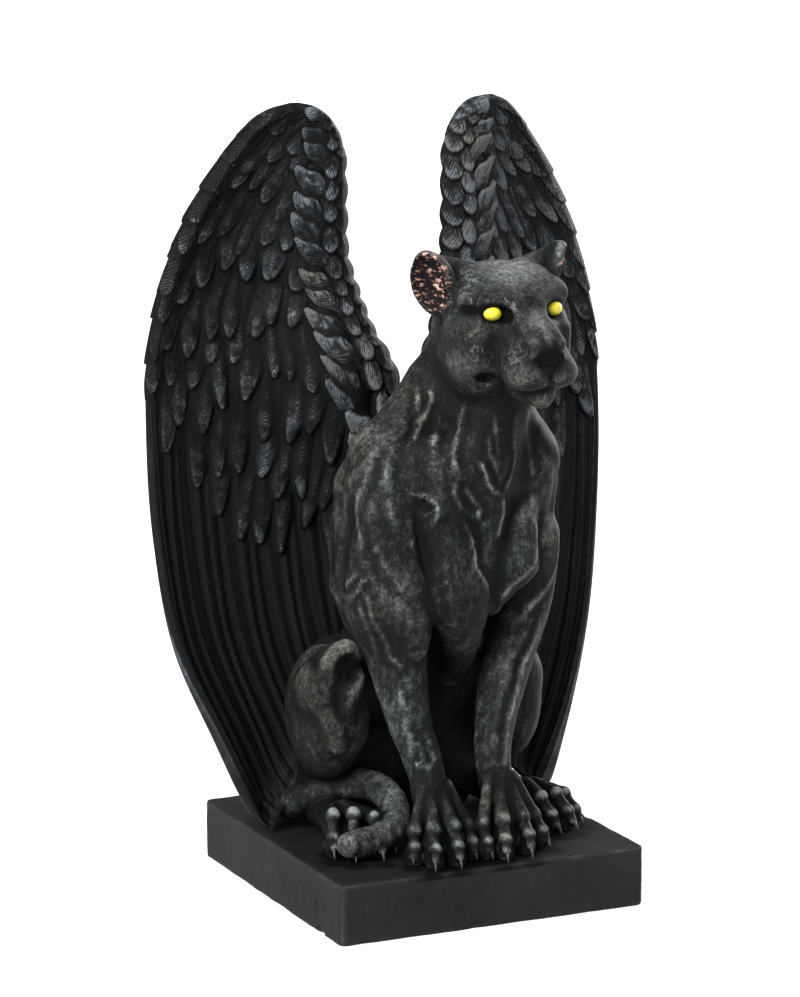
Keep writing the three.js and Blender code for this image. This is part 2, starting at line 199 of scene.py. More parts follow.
# The lobes of the chest and of the upper arms, which meet in folds
LOBES = [
    limb((-34.5, -18, 160), (-33, -19, 121), 8.5, 9.5, 1.6),
    tube([(-29.5, -32, 160), (-27.5, -32.5, 144), (-25, -34, 128), (-22.3, -36, 115), (-20, -38.5, 102)],
         [10.5, 11.5, 11.5, 9, 4.5], 3.2),
    limb((30, -26, 158), (31.5, -24, 130), 12, 10, 2),
    muscle((-25, -25, 166), (15.5, 15, 18), 7),
    muscle((-11, -38, 163), (13, 10.5, 17), 7),
    muscle((24, -30, 163), (14, 13, 17), 8),
    tube([(-14, -42.5, 158), (-9, -41.5, 142), (-6, -41, 129), (-3.5, -40, 118), (-1, -36.5, 107), (1.5, -31, 96), (2, -22, 86)],
         [5, 9, 11.2, 10.6, 8.2, 5.4, 4], 4),
    limb((-1, -22, 112), (1, -12, 88), 11, 9, 6),
    limb((24.5, -38, 153), (17.5, -38.5, 132), 5.5, 11.5, 2),
    limb((17.5, -38.5, 132), (9.5, -39.5, 117), 11.5, 5.5, 2),
    limb((36.5, -30, 150), (34.5, -26, 130), 4, 8.8, 1.6),
    limb((34.5, -26, 130), (25, -29, 108), 8.8, 8, 2),
    limb((-35, -12, 122), (-33, -16, 110), 7, 6, 4),
    limb((35, -10, 122), (33, -14, 110), 7, 6, 4),
    muscle((36, -12, 88), (6, 6, 11), 3),
]

FORELEGS = {
    -1: {
        "bone": [(-28, -30, 140), (-28, -26, 116), (-24, -28, 103), (-23, -32, 88), (-22, -37, 74), (-18, -42, 58), (-16.5, -44, 46)],
        "radii": [13, 13.5, 11.8, 9.6, 7.8, 6.6, 5.9],
    },
    1: {
        "bone": [(31, -30, 138), (30, -26, 114), (25, -28, 98), (19, -32, 84), (13.5, -37, 70), (10, -42, 57), (11.5, -44, 46)],
        "radii": [11.5, 11, 9.6, 8.6, 7.2, 6.4, 5.8],
    },
}


def foreleg_shapes(side):
    leg = FORELEGS[side]
    return [
        tube(leg["bone"], leg["radii"], 3),
        muscle((side * 29, -12, 136), (12, 17, 25), 5),
    ]


def hind_leg_shapes(side):
    out = -37.8 if side < 0 else 34.5
    return [
        limb((side * 20, 24, 74), (out, -4, 80), 22, 13, 7),
        muscle((out + side, 2, 70), (14, 20, 26), 4),
        limb((out, -6, 80), (side * 36, 18, 33), 10, 8, 5),
        limb((side * 36, 20, 31), (side * 40, -14, 31), 7, 6.5, 4),
        muscle((side * 16, 14, 42), (13, 14, 22), 6),
    ]


# The knee's bony ring, with a hollow in it, and the ridges that run down from it
KNEE = [
    muscle((-38.5, -11, 90), (9, 7, 10.5), 5),
    muscle((-49, -9, 83), (5.5, 8, 9), 4),
    muscle((-36, -9, 68), (9, 10, 11), 5),
    tube([(-45.5, -14.9, 88), (-44.5, -15.9, 95), (-39, -16.4, 99), (-34, -15.9, 96)], [2.4, 2.6, 2.4, 1.6], 4),
    tube([(-47.5, -14.4, 83), (-46, -15.9, 76), (-43, -16.9, 69), (-42, -16.4, 62)], [3.4, 2.8, 2.6, 2], 4),
    tube([(-33.5, -15.9, 87), (-37, -16.9, 81), (-39, -16.9, 74)], [2.2, 2.4, 1.8], 3.5),
    muscle((-38, -20.8, 90), (4.4, 2.6, 5.0), 3.5, carve=True),
]


# Each toe: where it leaves the paw, its two knuckles and the claw's tip
TOES = {
    "front_right": [
        [(-20, -44, 42), (-25, -48.5, 35), (-26.5, -51.5, 29.5), (-28.5, -55, 23.6)],
        [(-18, -46, 43), (-20, -54, 36), (-22, -60, 30.5), (-24.9, -66.5, 23.6)],
        [(-15, -46, 43), (-12, -54.5, 36.5), (-13, -60.5, 31), (-14.4, -67, 23.6)],
        [(-13, -44, 42), (-4, -50, 35), (-3.8, -54, 29.5), (-4.1, -58.5, 23.6)],
    ],
    "front_left": [
        [(8, -44, 42), (1.2, -52, 35), (1.2, -56, 29.5), (1.7, -60.5, 23.6)],
        [(10, -46, 43), (8.5, -54, 36.5), (6.5, -60.5, 31), (4.6, -67, 23.6)],
        [(13, -46, 43), (18, -51, 36), (17.5, -58, 31), (15.4, -65.5, 23.6)],
        [(15, -44, 42), (24.5, -47.5, 35), (26.5, -51, 29.5), (28, -55.5, 23.6)],
    ],
    "hind_right": [
        [(-42, -14, 37), (-47.5, -25, 37.5), (-49.5, -30, 30.5), (-51.5, -35.5, 23.6)],
        [(-40, -15, 38), (-40.8, -28.5, 38), (-43.5, -35.5, 31), (-46.2, -43, 23.6)],
        [(-38, -15, 38), (-33, -30, 36), (-34.5, -38, 30), (-36, -46, 23.6)],
        [(-36, -14, 37), (-27, -27, 34), (-27, -33, 29), (-27.5, -38.5, 23.6)],
    ],
    "hind_left": [
        [(36, -14, 37), (30, -29, 34), (30.5, -34, 29), (31.5, -39.5, 23.6)],
        [(38, -15, 38), (36.5, -30.5, 36), (38, -36, 30.5), (39.8, -42, 23.6)],
        [(41, -15, 38), (44, -28, 36), (46, -34, 30.5), (47.5, -40.5, 23.6)],
        [(43, -14, 37), (50, -23, 34), (52, -28, 29), (53.5, -33, 23.6)],
    ],
}


# The middle of each wrist's front, where the tendons of the toes start
WRISTS = {"front_right": (-16.6, -47.9, 51), "front_left": (10.8, -47.7, 51)}


def toe_shapes(toe):
    """A toe's bones: a long thin one, two bony knuckles, the sheath of the claw and the pad below."""
    root, first, second, tip = [np.array(p, float) for p in toe]
    sheath = second + 0.42 * (tip - second)
    pad = np.array([*(0.5 * first + 0.5 * second)[:2], GROUND + 2.5])
    return [
        limb(root, first, 2.2, 2.6, 0.9),
        muscle(first, (2.7, 3.1, 3.1), 0.8),
        limb(first, second, 1.9, 2.2, 0.8),
        muscle(second, (2.7, 2.9, 2.7), 0.7),
        limb(second, sheath, 2.0, 1.7, 0.5),
        muscle(pad, (3.6, 5, 4.6), 1.5),
    ]


def paw_shapes():
    shapes = [
        limb((-16.5, -43, 46), (-15.5, -45.5, 34), 5.6, 7.2, 3),
        limb((11.5, -43, 46), (12.5, -45.5, 34), 5.5, 7.2, 3),
        muscle((-15.5, -46, 27), (11, 9, 7), 2),
        muscle((12.5, -46, 27), (11, 9, 7), 2),
        muscle((-38.5, -19, 28), (9, 10, 8), 3),
        muscle((40.5, -19, 28), (9, 10, 8), 3),
    ]
    for name, toes in TOES.items():
        for toe in toes:
            shapes += toe_shapes(toe)
            if name in WRISTS:
                shapes.append(tendon(WRISTS[name], toe[1]))
    return shapes


def tendon(wrist, knuckle):
    """The cord that stands out between the wrist and a knuckle."""
    spread = 0.42 * (knuckle[0] - wrist[0])
    return limb((wrist[0] + spread, wrist[1] + 1.2, wrist[2]), knuckle, 2.0, 2.6, 1.5)


CLAW_RINGS = 7
CLAW_SPOKES = 8


def claw_points():
    """A closed thin hooked cone at the end of each toe."""
    made, faces = [], []
    for toes in TOES.values():
        for toe in toes:
            second, tip = np.array(toe[2], float), np.array(toe[3], float)
            start = second + 0.3 * (tip - second)
            hook = 0.5 * (start + tip) + np.array([0, 0, 0.9]) + 0.12 * (tip - start) * (1, 1, 0)
            first = len(made)
            ahead = (tip - start) / np.linalg.norm(tip - start)
            across = np.cross(ahead, (0, 0, 1))
            across /= np.linalg.norm(across)
            over = np.cross(across, ahead)
            for i in range(CLAW_RINGS):
                t = i / CLAW_RINGS
                centre = (1 - t) ** 2 * start + 2 * t * (1 - t) * hook + t * t * tip
                radius = 1.45 * (1 - t) ** 0.8
                for j in range(CLAW_SPOKES):
                    angle = 2 * math.pi * j / CLAW_SPOKES
                    made.append(centre + radius * (0.8 * math.cos(angle) * across + math.sin(angle) * over))
            made += [start, tip]
            for i in range(CLAW_RINGS - 1):
                for j in range(CLAW_SPOKES):
                    a = first + i * CLAW_SPOKES + j
                    b = first + i * CLAW_SPOKES + (j + 1) % CLAW_SPOKES
                    faces += [(a, b, b + CLAW_SPOKES), (a, b + CLAW_SPOKES, a + CLAW_SPOKES)]
            last = first + (CLAW_RINGS - 1) * CLAW_SPOKES
            for j in range(CLAW_SPOKES):
                k = (j + 1) % CLAW_SPOKES
                faces += [(len(made) - 2, first + k, first + j), (len(made) - 1, last + j, last + k)]
    return np.array(made), np.array(faces)


TAIL = [(-8, 46, 38), (-28, 45, 31), (-41, 34, 30), (-46, 19, 31), (-40, 5, 38), (-30, -1, 42),
        (-23, -10, 42), (-22, -24, 38), (-29, -35, 32), (-39, -38, 30), (-47, -39, 30)]


def tail_shapes():
    return [
        tube(TAIL, np.linspace(6.2, 4.9, len(TAIL)), 1.2),
        limb((6, 32, 50), (-13, 45.5, 37), 10, 6.2, 6),
    ]


EYES = {-1: (-12.1, -12.7, 6.6), 1: (14.0, -12.3, 6.6)}
EYE_HALVES = (3.3, 2.5, 2.6)
EYE_TOE_OUT = 24.0
NOSE_SHIFT = -0.6


def head_shapes():
    """The head about its own middle."""
    shapes = [
        muscle((0, 9, 3), (21, 23, 17.5), 5),
        muscle((0, 2, 6), (19, 17, 15), 5),
        limb((0, 6, -6), (-1, 18, -20), 17, 17, 6),
        muscle((0, -9, -4), (19.5, 14, 14), 5),
        muscle((0, -20, -7), (13, 14, 10.5), 5),
    ]
    for side in (-1, 1):
        shapes.append(muscle((side * 12, 3, 9), (9, 12, 11.5), 5))
        shapes.append(muscle((side * 13.5, -2, -11), (10, 16, 14.5), 5))
        shapes.append(limb((side * 20, -2, 0), (side * 15, -12, -1), 4.5, 4, 5))
    shapes.append(limb((0, -10, 9.2), (0, -31, -1.2), 4.6, 3.6, 3))
    for side in (-1, 1):
        shapes.append(limb((side * 2.4, -11, 9), (side * 4.4, -31, -1.8), 4.2, 3.4, 1.5))
        shapes.append(limb((side * 5.5, -13.6, 9.0), (side * 17.5, -6.5, 11.4), 3.4, 4.4, 5))
    shapes.append(limb((0, -4, -17.5), (0.8, -28, -21.6), 8.6, 4.5, 2.0))
    for side in (-1, 1):
        shapes.append(muscle((side * 16.5, -22.5, -4.5), (3.6, 4, 8), 5, (0, 0, side * 20), True))
        shapes.append(muscle((side * 6.8, -27.6, -12.4), (7.2, 9.6, 6.2), 4.6))
        shapes.append(limb((side * 3.0, -34, -14.2), (side * 10.5, -25, -16.4), 2.2, 1.2, 3.0))
    shapes.append(muscle((NOSE_SHIFT, -32.6, -4.0), (6.6, 3.4, 2.3), 0.7))
    for side in (-1, 1):
        shapes.append(muscle((side * 4.6 + NOSE_SHIFT, -32.4, -5.6), (2.8, 3.6, 2.7), 0.7))
    shapes.append(muscle((NOSE_SHIFT, -33.8, -7.4), (3.2, 2.8, 3.0), 0.6))
    shapes.append(limb((NOSE_SHIFT, -34.2, -8.4), (NOSE_SHIFT, -35.2, -13), 1.6, 1.2, 0.6))
    for side in (-1, 1):
        x, y, z = EYES[side]
        shapes.append(muscle((x, y - 3.5, z - 0.2), (6.4, 4.6, 3.3), 2, (0, side * 8, -side * 10), True))
        shapes.append(limb((side * 2.6 + NOSE_SHIFT, -36.6, -6.4), (side * 6.4 + NOSE_SHIFT, -35.2, -7.2), 1.2, 0.8, 0.4, True))
        shapes.append(muscle((side * 15.5, -15.4, -16.4), (3.6, 3.2, 2.1), 2.2, carve=True))
        shapes.append(muscle((side * 25, 9, 14.5), (5, 9.2, 12.8), 4, (0, side * 16, -side * 30)))
        shapes.append(limb((side * 27, 11, 23), (side * 12, 8, 17), 2.6, 5, 3))
        shapes.append(muscle((side * 29.4, 6.4, 15.4), (5.4, 8.0, 11.3), 0.6, (0, side * 16, -side * 30), True))
    shapes.append(limb((0, -39.5, -12), (0, -38, -20), 0.8, 1.4, 0.8, True))
    return shapes


def set_on_neck(shape):
    """A shape of the head, moved to where the head is."""
    distance, low, high, reach, carve = shape
    turn = turned((HEAD_NOD, 0, HEAD_TURN))
    undo = turn.T

    def moved(x, y, z):
        dx, dy, dz = x - HEAD[0], y - HEAD[1], z - HEAD[2]
        return distance(*[undo[i, 0] * dx + undo[i, 1] * dy + undo[i, 2] * dz for i in range(3)])

    middle, half = (low + high) / 2, (high - low) / 2
    centre = turn @ middle + HEAD
    reach_out = np.abs(turn) @ half
    return moved, centre - reach_out, centre + reach_out, reach, carve


def body_clay():
    clay = Clay(BODY_LOW, BODY_HIGH, BODY_CELL)
    shapes = list(TRUNK)
    for side in (-1, 1):
        shapes += foreleg_shapes(side) + hind_leg_shapes(side)
    shapes += LOBES + KNEE + paw_shapes() + tail_shapes()
    shapes += [set_on_neck(s) for s in head_shapes()]
    for shape in shapes:
        clay.put(shape)
    ground = clay.axes[2] < GROUND
    clay.depth[:, :, ground] = np.maximum(clay.depth[:, :, ground], (GROUND - clay.axes[2][ground]).astype(np.float32))
    return clay


def skin_of(clay):
    """The clay's surface: points in millimetres and triangles."""
    grid = openvdb.FloatGrid(FAR)
    grid.copyFromArray(clay.depth)
    points, triangles, quads = grid.convertToPolygons(isovalue=0.0, adaptivity=0.0)
    faces = [triangles] if len(triangles) else []
    if len(quads):
        faces += [quads[:, [0, 1, 2]], quads[:, [0, 2, 3]]]
    return points * clay.cell + clay.low, np.vstack(faces)


def mesh_object(name, points, faces):
    mesh = bpy.data.meshes.new(name)
    mesh.from_pydata([], [], [])
    mesh.vertices.add(len(points))
    mesh.vertices.foreach_set("co", (np.asarray(points, np.float32) * MM).ravel())
    faces = np.asarray(faces, np.int32)
    mesh.loops.add(faces.size)
    mesh.loops.foreach_set("vertex_index", faces.ravel())
    mesh.polygons.add(len(faces))
    mesh.polygons.foreach_set("loop_start", np.arange(0, faces.size, faces.shape[1], dtype=np.int32))
    mesh.update(calc_edges=True)
    mesh.validate()
    mesh.shade_smooth()
    made = bpy.data.objects.new(name, mesh)
    bpy.context.scene.collection.objects.link(made)
    return made


# Lines along the skin: how high each stands, how wide it is, the depth and side of the furrow beside it, and its course
FOLDS = [
    (0.9, 1.1, 0.5, 1, [(-11, -32, 199), (-12, -34, 191), (-14, -33, 187), (-17, -35, 183), (-21, -38, 178)]),
    (0.8, 1.0, 0.4, 1, [(-15, -30, 196), (-16, -32, 189), (-17, -34, 184)]),
    (0.9, 1.1, 0.5, -1, [(-3, -44, 193), (-4, -43, 187), (-6, -44, 180), (-9, -47, 174), (-8, -49, 168)]),
    (0.6, 1.2, 0.3, -1, [(-9, -35, 189), (-10, -36, 182), (-16, -43, 176)]),
    (1.0, 1.0, 0.7, -1, [(0, -51, 173), (2, -51, 168), (4, -51, 163), (10, -49, 158)]),
    (1.1, 1.0, 0.7, 1, [(13, -50, 193), (13, -53, 185), (15, -50, 173), (14, -49, 166), (10, -49, 158)]),
    (0.9, 1.1, 0.4, -1, [(10, -49, 158), (11, -47, 153), (10, -48, 147), (8, -48, 142)]),
    (0.5, 0.9, 0.3, -1, [(3, -51, 182), (4, -52, 175), (7, -51, 167)]),
    (0.5, 1.0, 0.3, -1, [(5, -53, 191), (6, -52, 180), (8, -52, 168)]),
    (0.9, 1.6, 0.7, 1, [(24, -43, 190), (29, -41, 182), (34, -40, 174), (38, -37, 168), (40, -34, 160), (40, -33, 151), (38, -34, 144)]),
    (0.7, 1.3, 0.5, -1, [(18, -52, 188), (22, -45, 179), (24, -44, 170), (25, -43, 162)]),
    (1.3, 2.4, 0.3, -1, [(-23, -36, 180), (-23, -40, 175), (-24, -42, 170), (-24, -44, 164), (-25, -44, 160)]),
    (-1.6, 2.0, 0.0, 1, [(-22, -45, 158), (-19, -46, 156), (-18, -47, 154)]),
    (1.0, 1.2, 0.4, 1, [(-25, -44, 161), (-20, -46, 160), (-16, -47, 157), (-15, -47, 153), (-17, -46, 149)]),
    (1.0, 1.3, 0.9, -1, [(-8, -47, 152), (-4, -47, 146), (-2, -50, 139), (-1, -53, 133), (3, -49, 126), (7, -46, 118), (6, -45, 111), (3, -43, 104)]),
    (0.7, 1.2, 0.6, -1, [(-10, -49, 166), (-8, -48, 158), (-4, -48, 153), (0, -49, 150)]),
    (0.7, 1.3, 0.4, -1, [(-6, -49, 163), (-3, -49, 159), (0, -49, 154), (0, -49, 149)]),
    (0.9, 1.3, 0.8, -1, [(24, -44, 149), (27, -44, 143), (26, -46, 136), (22, -49, 130), (17, -49, 126), (13, -48, 120), (11, -47, 116)]),
    (0.9, 1.2, 0.7, -1, [(38, -39, 141), (39, -38, 135), (39, -37, 129), (35, -38, 120), (28, -37, 113), (24, -37, 109)]),
    (1.0, 1.2, 0.6, 1, [(36, -36, 114), (33, -36, 106), (30, -37, 99), (25, -39, 92), (21, -41, 82), (17, -43, 74), (14, -46, 65), (12, -49, 55)]),
    (0.8, 1.6, 0.5, -1, [(-32, -34, 179), (-37, -33, 172), (-41, -28, 164), (-41, -24, 155), (-42, -23, 147)]),
    (0.7, 1.5, 0.6, -1, [(-33, -35, 176), (-37, -35, 169), (-39, -34, 162), (-38, -30, 152), (-40, -34, 143), (-41, -33, 136)]),
    (0.6, 1.6, 0.4, 1, [(-30, -37, 175), (-33, -41, 166), (-32, -42, 157), (-30, -43, 146)]),
    (0.7, 1.5, 0.6, -1, [(-26, -43, 155), (-25, -43, 148), (-24, -44, 138), (-21, -43, 130), (-18, -47, 125), (-14, -45, 117), (-13, -43, 111)]),
    (0.7, 1.6, 0.5, 1, [(-36, -40, 144), (-34, -41, 137), (-30, -43, 129), (-27, -44, 125)]),
    (0.6, 0.9, 0.4, 1, [(-42, -25, 124), (-42, -30, 128), (-41, -34, 131)]),
    (0.6, 0.9, 0.4, 1, [(-42, -29, 120), (-41, -33, 124), (-40, -35, 128), (-38, -38, 130)]),
    (0.9, 1.1, 0.6, 1, [(-40, -35, 125), (-38, -36, 121), (-36, -37, 113), (-32, -38, 105), (-30, -39, 99), (-26, -41, 95)]),
    (0.9, 1.2, 0.4, -1, [(-28, -41, 88), (-27, -42, 83), (-26, -43, 78), (-26, -44, 73), (-25, -45, 67), (-25, -45, 61)]),
    (0.6, 1.2, 0.5, 1, [(-41, -33, 121), (-39, -35, 113), (-36, -35, 106), (-34, -34, 97)]),
    (0.6, 1.6, 0.5, -1, [(-20, -43, 125), (-15, -42, 115), (-13, -41, 108), (-13, -38, 99)]),
    (0.8, 1.1, 0.4, -1, [(-24, -46, 60), (-22, -48, 59), (-20, -49, 59), (-18, -49, 59)]),
    (0.8, 1.2, 0.3, -1, [(-23, -46, 69), (-22, -47, 65), (-21, -48, 60)]),
    (0.7, 1.2, 0.3, 1, [(-18, -46, 69), (-18, -48, 65), (-17, -49, 60)]),
]


FOLD_HEIGHT = 0.45
FOLD_WIDTH = 1.45
FOLD_FURROW = 0.7
CREST_WIDTH = 0.85


class Skin:
    """A triangle mesh that is worked on as arrays."""

    def __init__(self, points, faces):
        self.points = points
        self.faces = faces
        pairs = np.sort(np.vstack([faces[:, [0, 1]], faces[:, [1, 2]], faces[:, [2, 0]]]), axis=1)
        keys = np.unique(pairs[:, 0].astype(np.int64) * len(points) + pairs[:, 1])
        self.a, self.b = keys // len(points), keys % len(points)
        self.degree = np.bincount(self.a, minlength=len(points)) + np.bincount(self.b, minlength=len(points))
        self.degree = np.maximum(self.degree, 1)

    def normals(self):
        p, f = self.points, self.faces
        flat = np.cross(p[f[:, 1]] - p[f[:, 0]], p[f[:, 2]] - p[f[:, 0]])
        made = np.zeros_like(p)
        for k in range(3):
            for corner in range(3):
                made[:, k] += np.bincount(f[:, corner], flat[:, k], len(p))
        return made / np.maximum(np.linalg.norm(made, axis=1, keepdims=True), 1e-12)

    def averaged(self, values, steps):
        """Values smoothed over the mesh's edges."""
        values = np.array(values, float)
        columns = values if values.ndim == 2 else values[:, None]
        for _ in range(steps):
            for k in range(columns.shape[1]):
                column = columns[:, k]
                total = np.bincount(self.a, column[self.b], len(column)) + np.bincount(self.b, column[self.a], len(column))
                columns[:, k] = 0.5 * column + 0.5 * total / self.degree
        return columns if values.ndim == 2 else columns[:, 0]

    def near(self, low, high):
        return np.flatnonzero(np.all((self.points > low) & (self.points < high), axis=1))


def fold_height(skin, normals, fold):
    """Which points a fold moves, how far, and how near each is to its crest."""
    height, width, furrow, side, course = fold
    height, width, furrow = FOLD_HEIGHT * height, FOLD_WIDTH * width, FOLD_FURROW * furrow
    route = curve_through(course, 12 * len(course))
    margin = 4 * width + 3
    here = skin.near(route.min(0) - margin, route.max(0) + margin)
    if len(here) == 0:
        return here, np.zeros(0), np.zeros(0)
    p = skin.points[here]
    for i, spot in enumerate(route):
        nearest = here[np.argmin(((p - spot) ** 2).sum(1))]
        route[i] = skin.points[nearest]
    route[1:-1] = (route[:-2] + 2 * route[1:-1] + route[2:]) / 4
    ahead = np.gradient(route, axis=0)
    ahead /= np.maximum(np.linalg.norm(ahead, axis=1, keepdims=True), 1e-9)
    gaps = ((p[:, None, :] - route[None]) ** 2).sum(2)
    closest = gaps.argmin(1)
    away = np.sqrt(gaps[np.arange(len(p)), closest])
    aside = np.cross(ahead[closest], normals[here])
    off = ((p - route[closest]) * aside).sum(1)
    t = closest / (len(route) - 1)
    fade = np.clip(6 * np.minimum(t, 1 - t) + 0.15, 0, 1)
    ridge = height * np.exp(-(away / width) ** 2)
    beside = away ** 2 - off ** 2 + (off - side * 1.8 * width) ** 2
    strong = np.interp(np.abs(p[:, 0] - 6), (18, 30), (1.0, 0.35)) * np.interp(p[:, 2], (110, 150), (0.6, 1.0))
    crest = np.sign(height) * fade * strong * np.exp(-(away / CREST_WIDTH) ** 2)
    return here, fade * (ridge - furrow * np.exp(-beside / width ** 2)), crest


def lattice_noise(points, size, seed):
    """Smooth noise from -1 to 1, with lumps of about a size."""
    rng = np.random.default_rng(seed)
    spot = (points - points.min(0)) / size
    cell = np.floor(spot).astype(int)
    part = spot - cell
    part = part * part * (3 - 2 * part)
    count = cell.max(0) + 2
    grid = rng.uniform(-1, 1, count)
    total = np.zeros(len(points))
    for i in (0, 1):
        for j in (0, 1):
            for k in (0, 1):
                weight = np.ones(len(points))
                for axis, step in enumerate((i, j, k)):
                    weight *= part[:, axis] if step else 1 - part[:, axis]
                total += weight * grid[cell[:, 0] + i, cell[:, 1] + j, cell[:, 2] + k]
    return total


def relief_of(skin):
    """How far each point stands out of the skin about it, close by and further off."""
    normals = skin.normals()
    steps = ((6, 60))
    fine = ((skin.points - skin.averaged(skin.points, steps[0])) * normals).sum(1)
    broad = ((skin.points - skin.averaged(skin.points, steps[1])) * normals).sum(1)
    return fine, broad


def sculpted_body():
    skin = Skin(*skin_of(body_clay()))
    skin.points = skin.averaged(skin.points, 1)
    normals = skin.normals()
    rise, crest = np.zeros(len(skin.points)), np.zeros(len(skin.points))
    for fold in FOLDS:
        here, height, near = fold_height(skin, normals, fold)
        rise[here] += height
        crest[here] = np.maximum(crest[here], near)
    above = np.clip((skin.points[:, 2] - GROUND - 1) / 3, 0, 1)
    rise += above * (0.22 * lattice_noise(skin.points, 7, 1) + 0.12 * lattice_noise(skin.points, 2.5, 2))
    skin.points = skin.points + normals * rise[:, None]
    return skin, crest


def thinned(made, most):
    """The same object with at most so many triangles."""
    count = len(made.data.polygons)
    if count <= most:
        return made
    modifier = made.modifiers.new("thin", "DECIMATE")
    modifier.ratio = most / count
    graph = bpy.context.evaluated_depsgraph_get()
    mesh = bpy.data.meshes.new_from_object(made.evaluated_get(graph), preserve_all_data_layers=True, depsgraph=graph)
    made.modifiers.clear()
    made.data = mesh
    return made


# The wing's two edges from its top to its tip: share of the half span, Y, and share of the height above the tip
WING_SPAN = 95.5
# How much paler the left wing's paint is made, as painted light
LEFT_WING_PAINTED_LIGHT = 0.5
WING_TOP = 298.0
WING_TIP = 24.8
WING_BOW = 7.0
WING_OUTER = [(0.435, 25, 1), (0.52, 28.5, 0.988), (0.61, 32, 0.96), (0.78, 36, 0.873), (0.90, 39, 0.78), (0.98, 40, 0.67), (1, 38, 0.54),
              (0.985, 35.5, 0.40), (0.925, 30, 0.25), (0.80, 20, 0.13), (0.66, 13, 0.02), (0.61, 10, 0)]
WING_INNER = [(0.405, 24, 1), (0.34, 24, 0.994), (0.27, 24, 0.975), (0.222, 24, 0.94), (0.212, 24, 0.86),
              (0.205, 24, 0.79), (0.165, 22, 0.735), (0.125, 17, 0.685), (0.06, 13, 0.64), (0.035, 12, 0.59),
              (0.08, 16, 0.45), (0.14, 20, 0.30), (0.27, 21, 0.15), (0.45, 18, 0.06), (0.61, 10, 0)]
WING_ROWS, WING_COLUMNS = ((560, 180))
PRIMARY_WIDTH = 5.4
BARB_PITCH = 1.5
SCALE_STEP = 9.4
SCALE_ROWS = 17
MARGIN_STEP = 0.046
MARGIN_ROWS = 9
FEATHER_PITCH = 8.2
BAND_EDGE = [(0, 0.34), (0.075, 0.36), (0.142, 0.338), (0.205, 0.29), (0.27, 0.275), (0.335, 0.275), (0.388, 0.262),
             (0.435, 0.20), (0.472, 0.131), (0.52, 0.06), (1, 0)]

# Rows of coverts: where their tips lie as (across, down), their length, how far their bases lean in, and lift
COVERT_ROWS = [
    ([(0.10, 0.66), (0.275, 0.555), (0.344, 0.60), (0.388, 0.632), (0.494, 0.618), (0.612, 0.60), (0.70, 0.575)], 50, 0.02, 1.5),
    ([(0.16, 0.57), (0.219, 0.555), (0.344, 0.54), (0.46, 0.535), (0.60, 0.53), (0.78, 0.528)], 44, 0.03, 1.5),
    ([(0.23, 0.49), (0.36, 0.475), (0.50, 0.468), (0.581, 0.43), (0.731, 0.455), (0.838, 0.472), (0.95, 0.478)], 40, 0.04, 2.3),
    ([(0.24, 0.41), (0.412, 0.40), (0.53, 0.385), (0.66, 0.39), (0.79, 0.405), (0.90, 0.415)], 34, 0.05, 1.6),
    ([(0.26, 0.345), (0.412, 0.325), (0.53, 0.338), (0.644, 0.347), (0.725, 0.355), (0.831, 0.37), (0.94, 0.38)], 32, 0.06, 2.3),
    ([(0.34, 0.265), (0.50, 0.262), (0.625, 0.272), (0.769, 0.284), (0.90, 0.30)], 28, 0.07, 2.3),
    ([(0.36, 0.235), (0.494, 0.238), (0.706, 0.215), (0.888, 0.218)], 24, 0.09, 1.8),
    ([(0.40, 0.185), (0.60, 0.165), (0.80, 0.16), (0.95, 0.16)], 20, 0.10, 1.6),
    ([(0.40, 0.135), (0.65, 0.115), (0.95, 0.11)], 16, 0.10, 1.3),
    ([(0.45, 0.09), (0.95, 0.07)], 12, 0.10, 1.0),
]


def wing_edge(edge, count):
    rise = WING_TOP - WING_TIP
    return curve_through([(x * WING_SPAN, y, WING_TIP + z * rise) for x, y, z in edge], count)


def smooth_step(value, low, high):
    part = np.clip((value - low) / (high - low), 0, 1)
    return part * part * (3 - 2 * part)


def ruffle(seed):
    """A repeatable number between -1 and 1."""
    return 2 * ((math.sin(seed * 12.9898 + 4.1) * 43758.5453) % 1) - 1


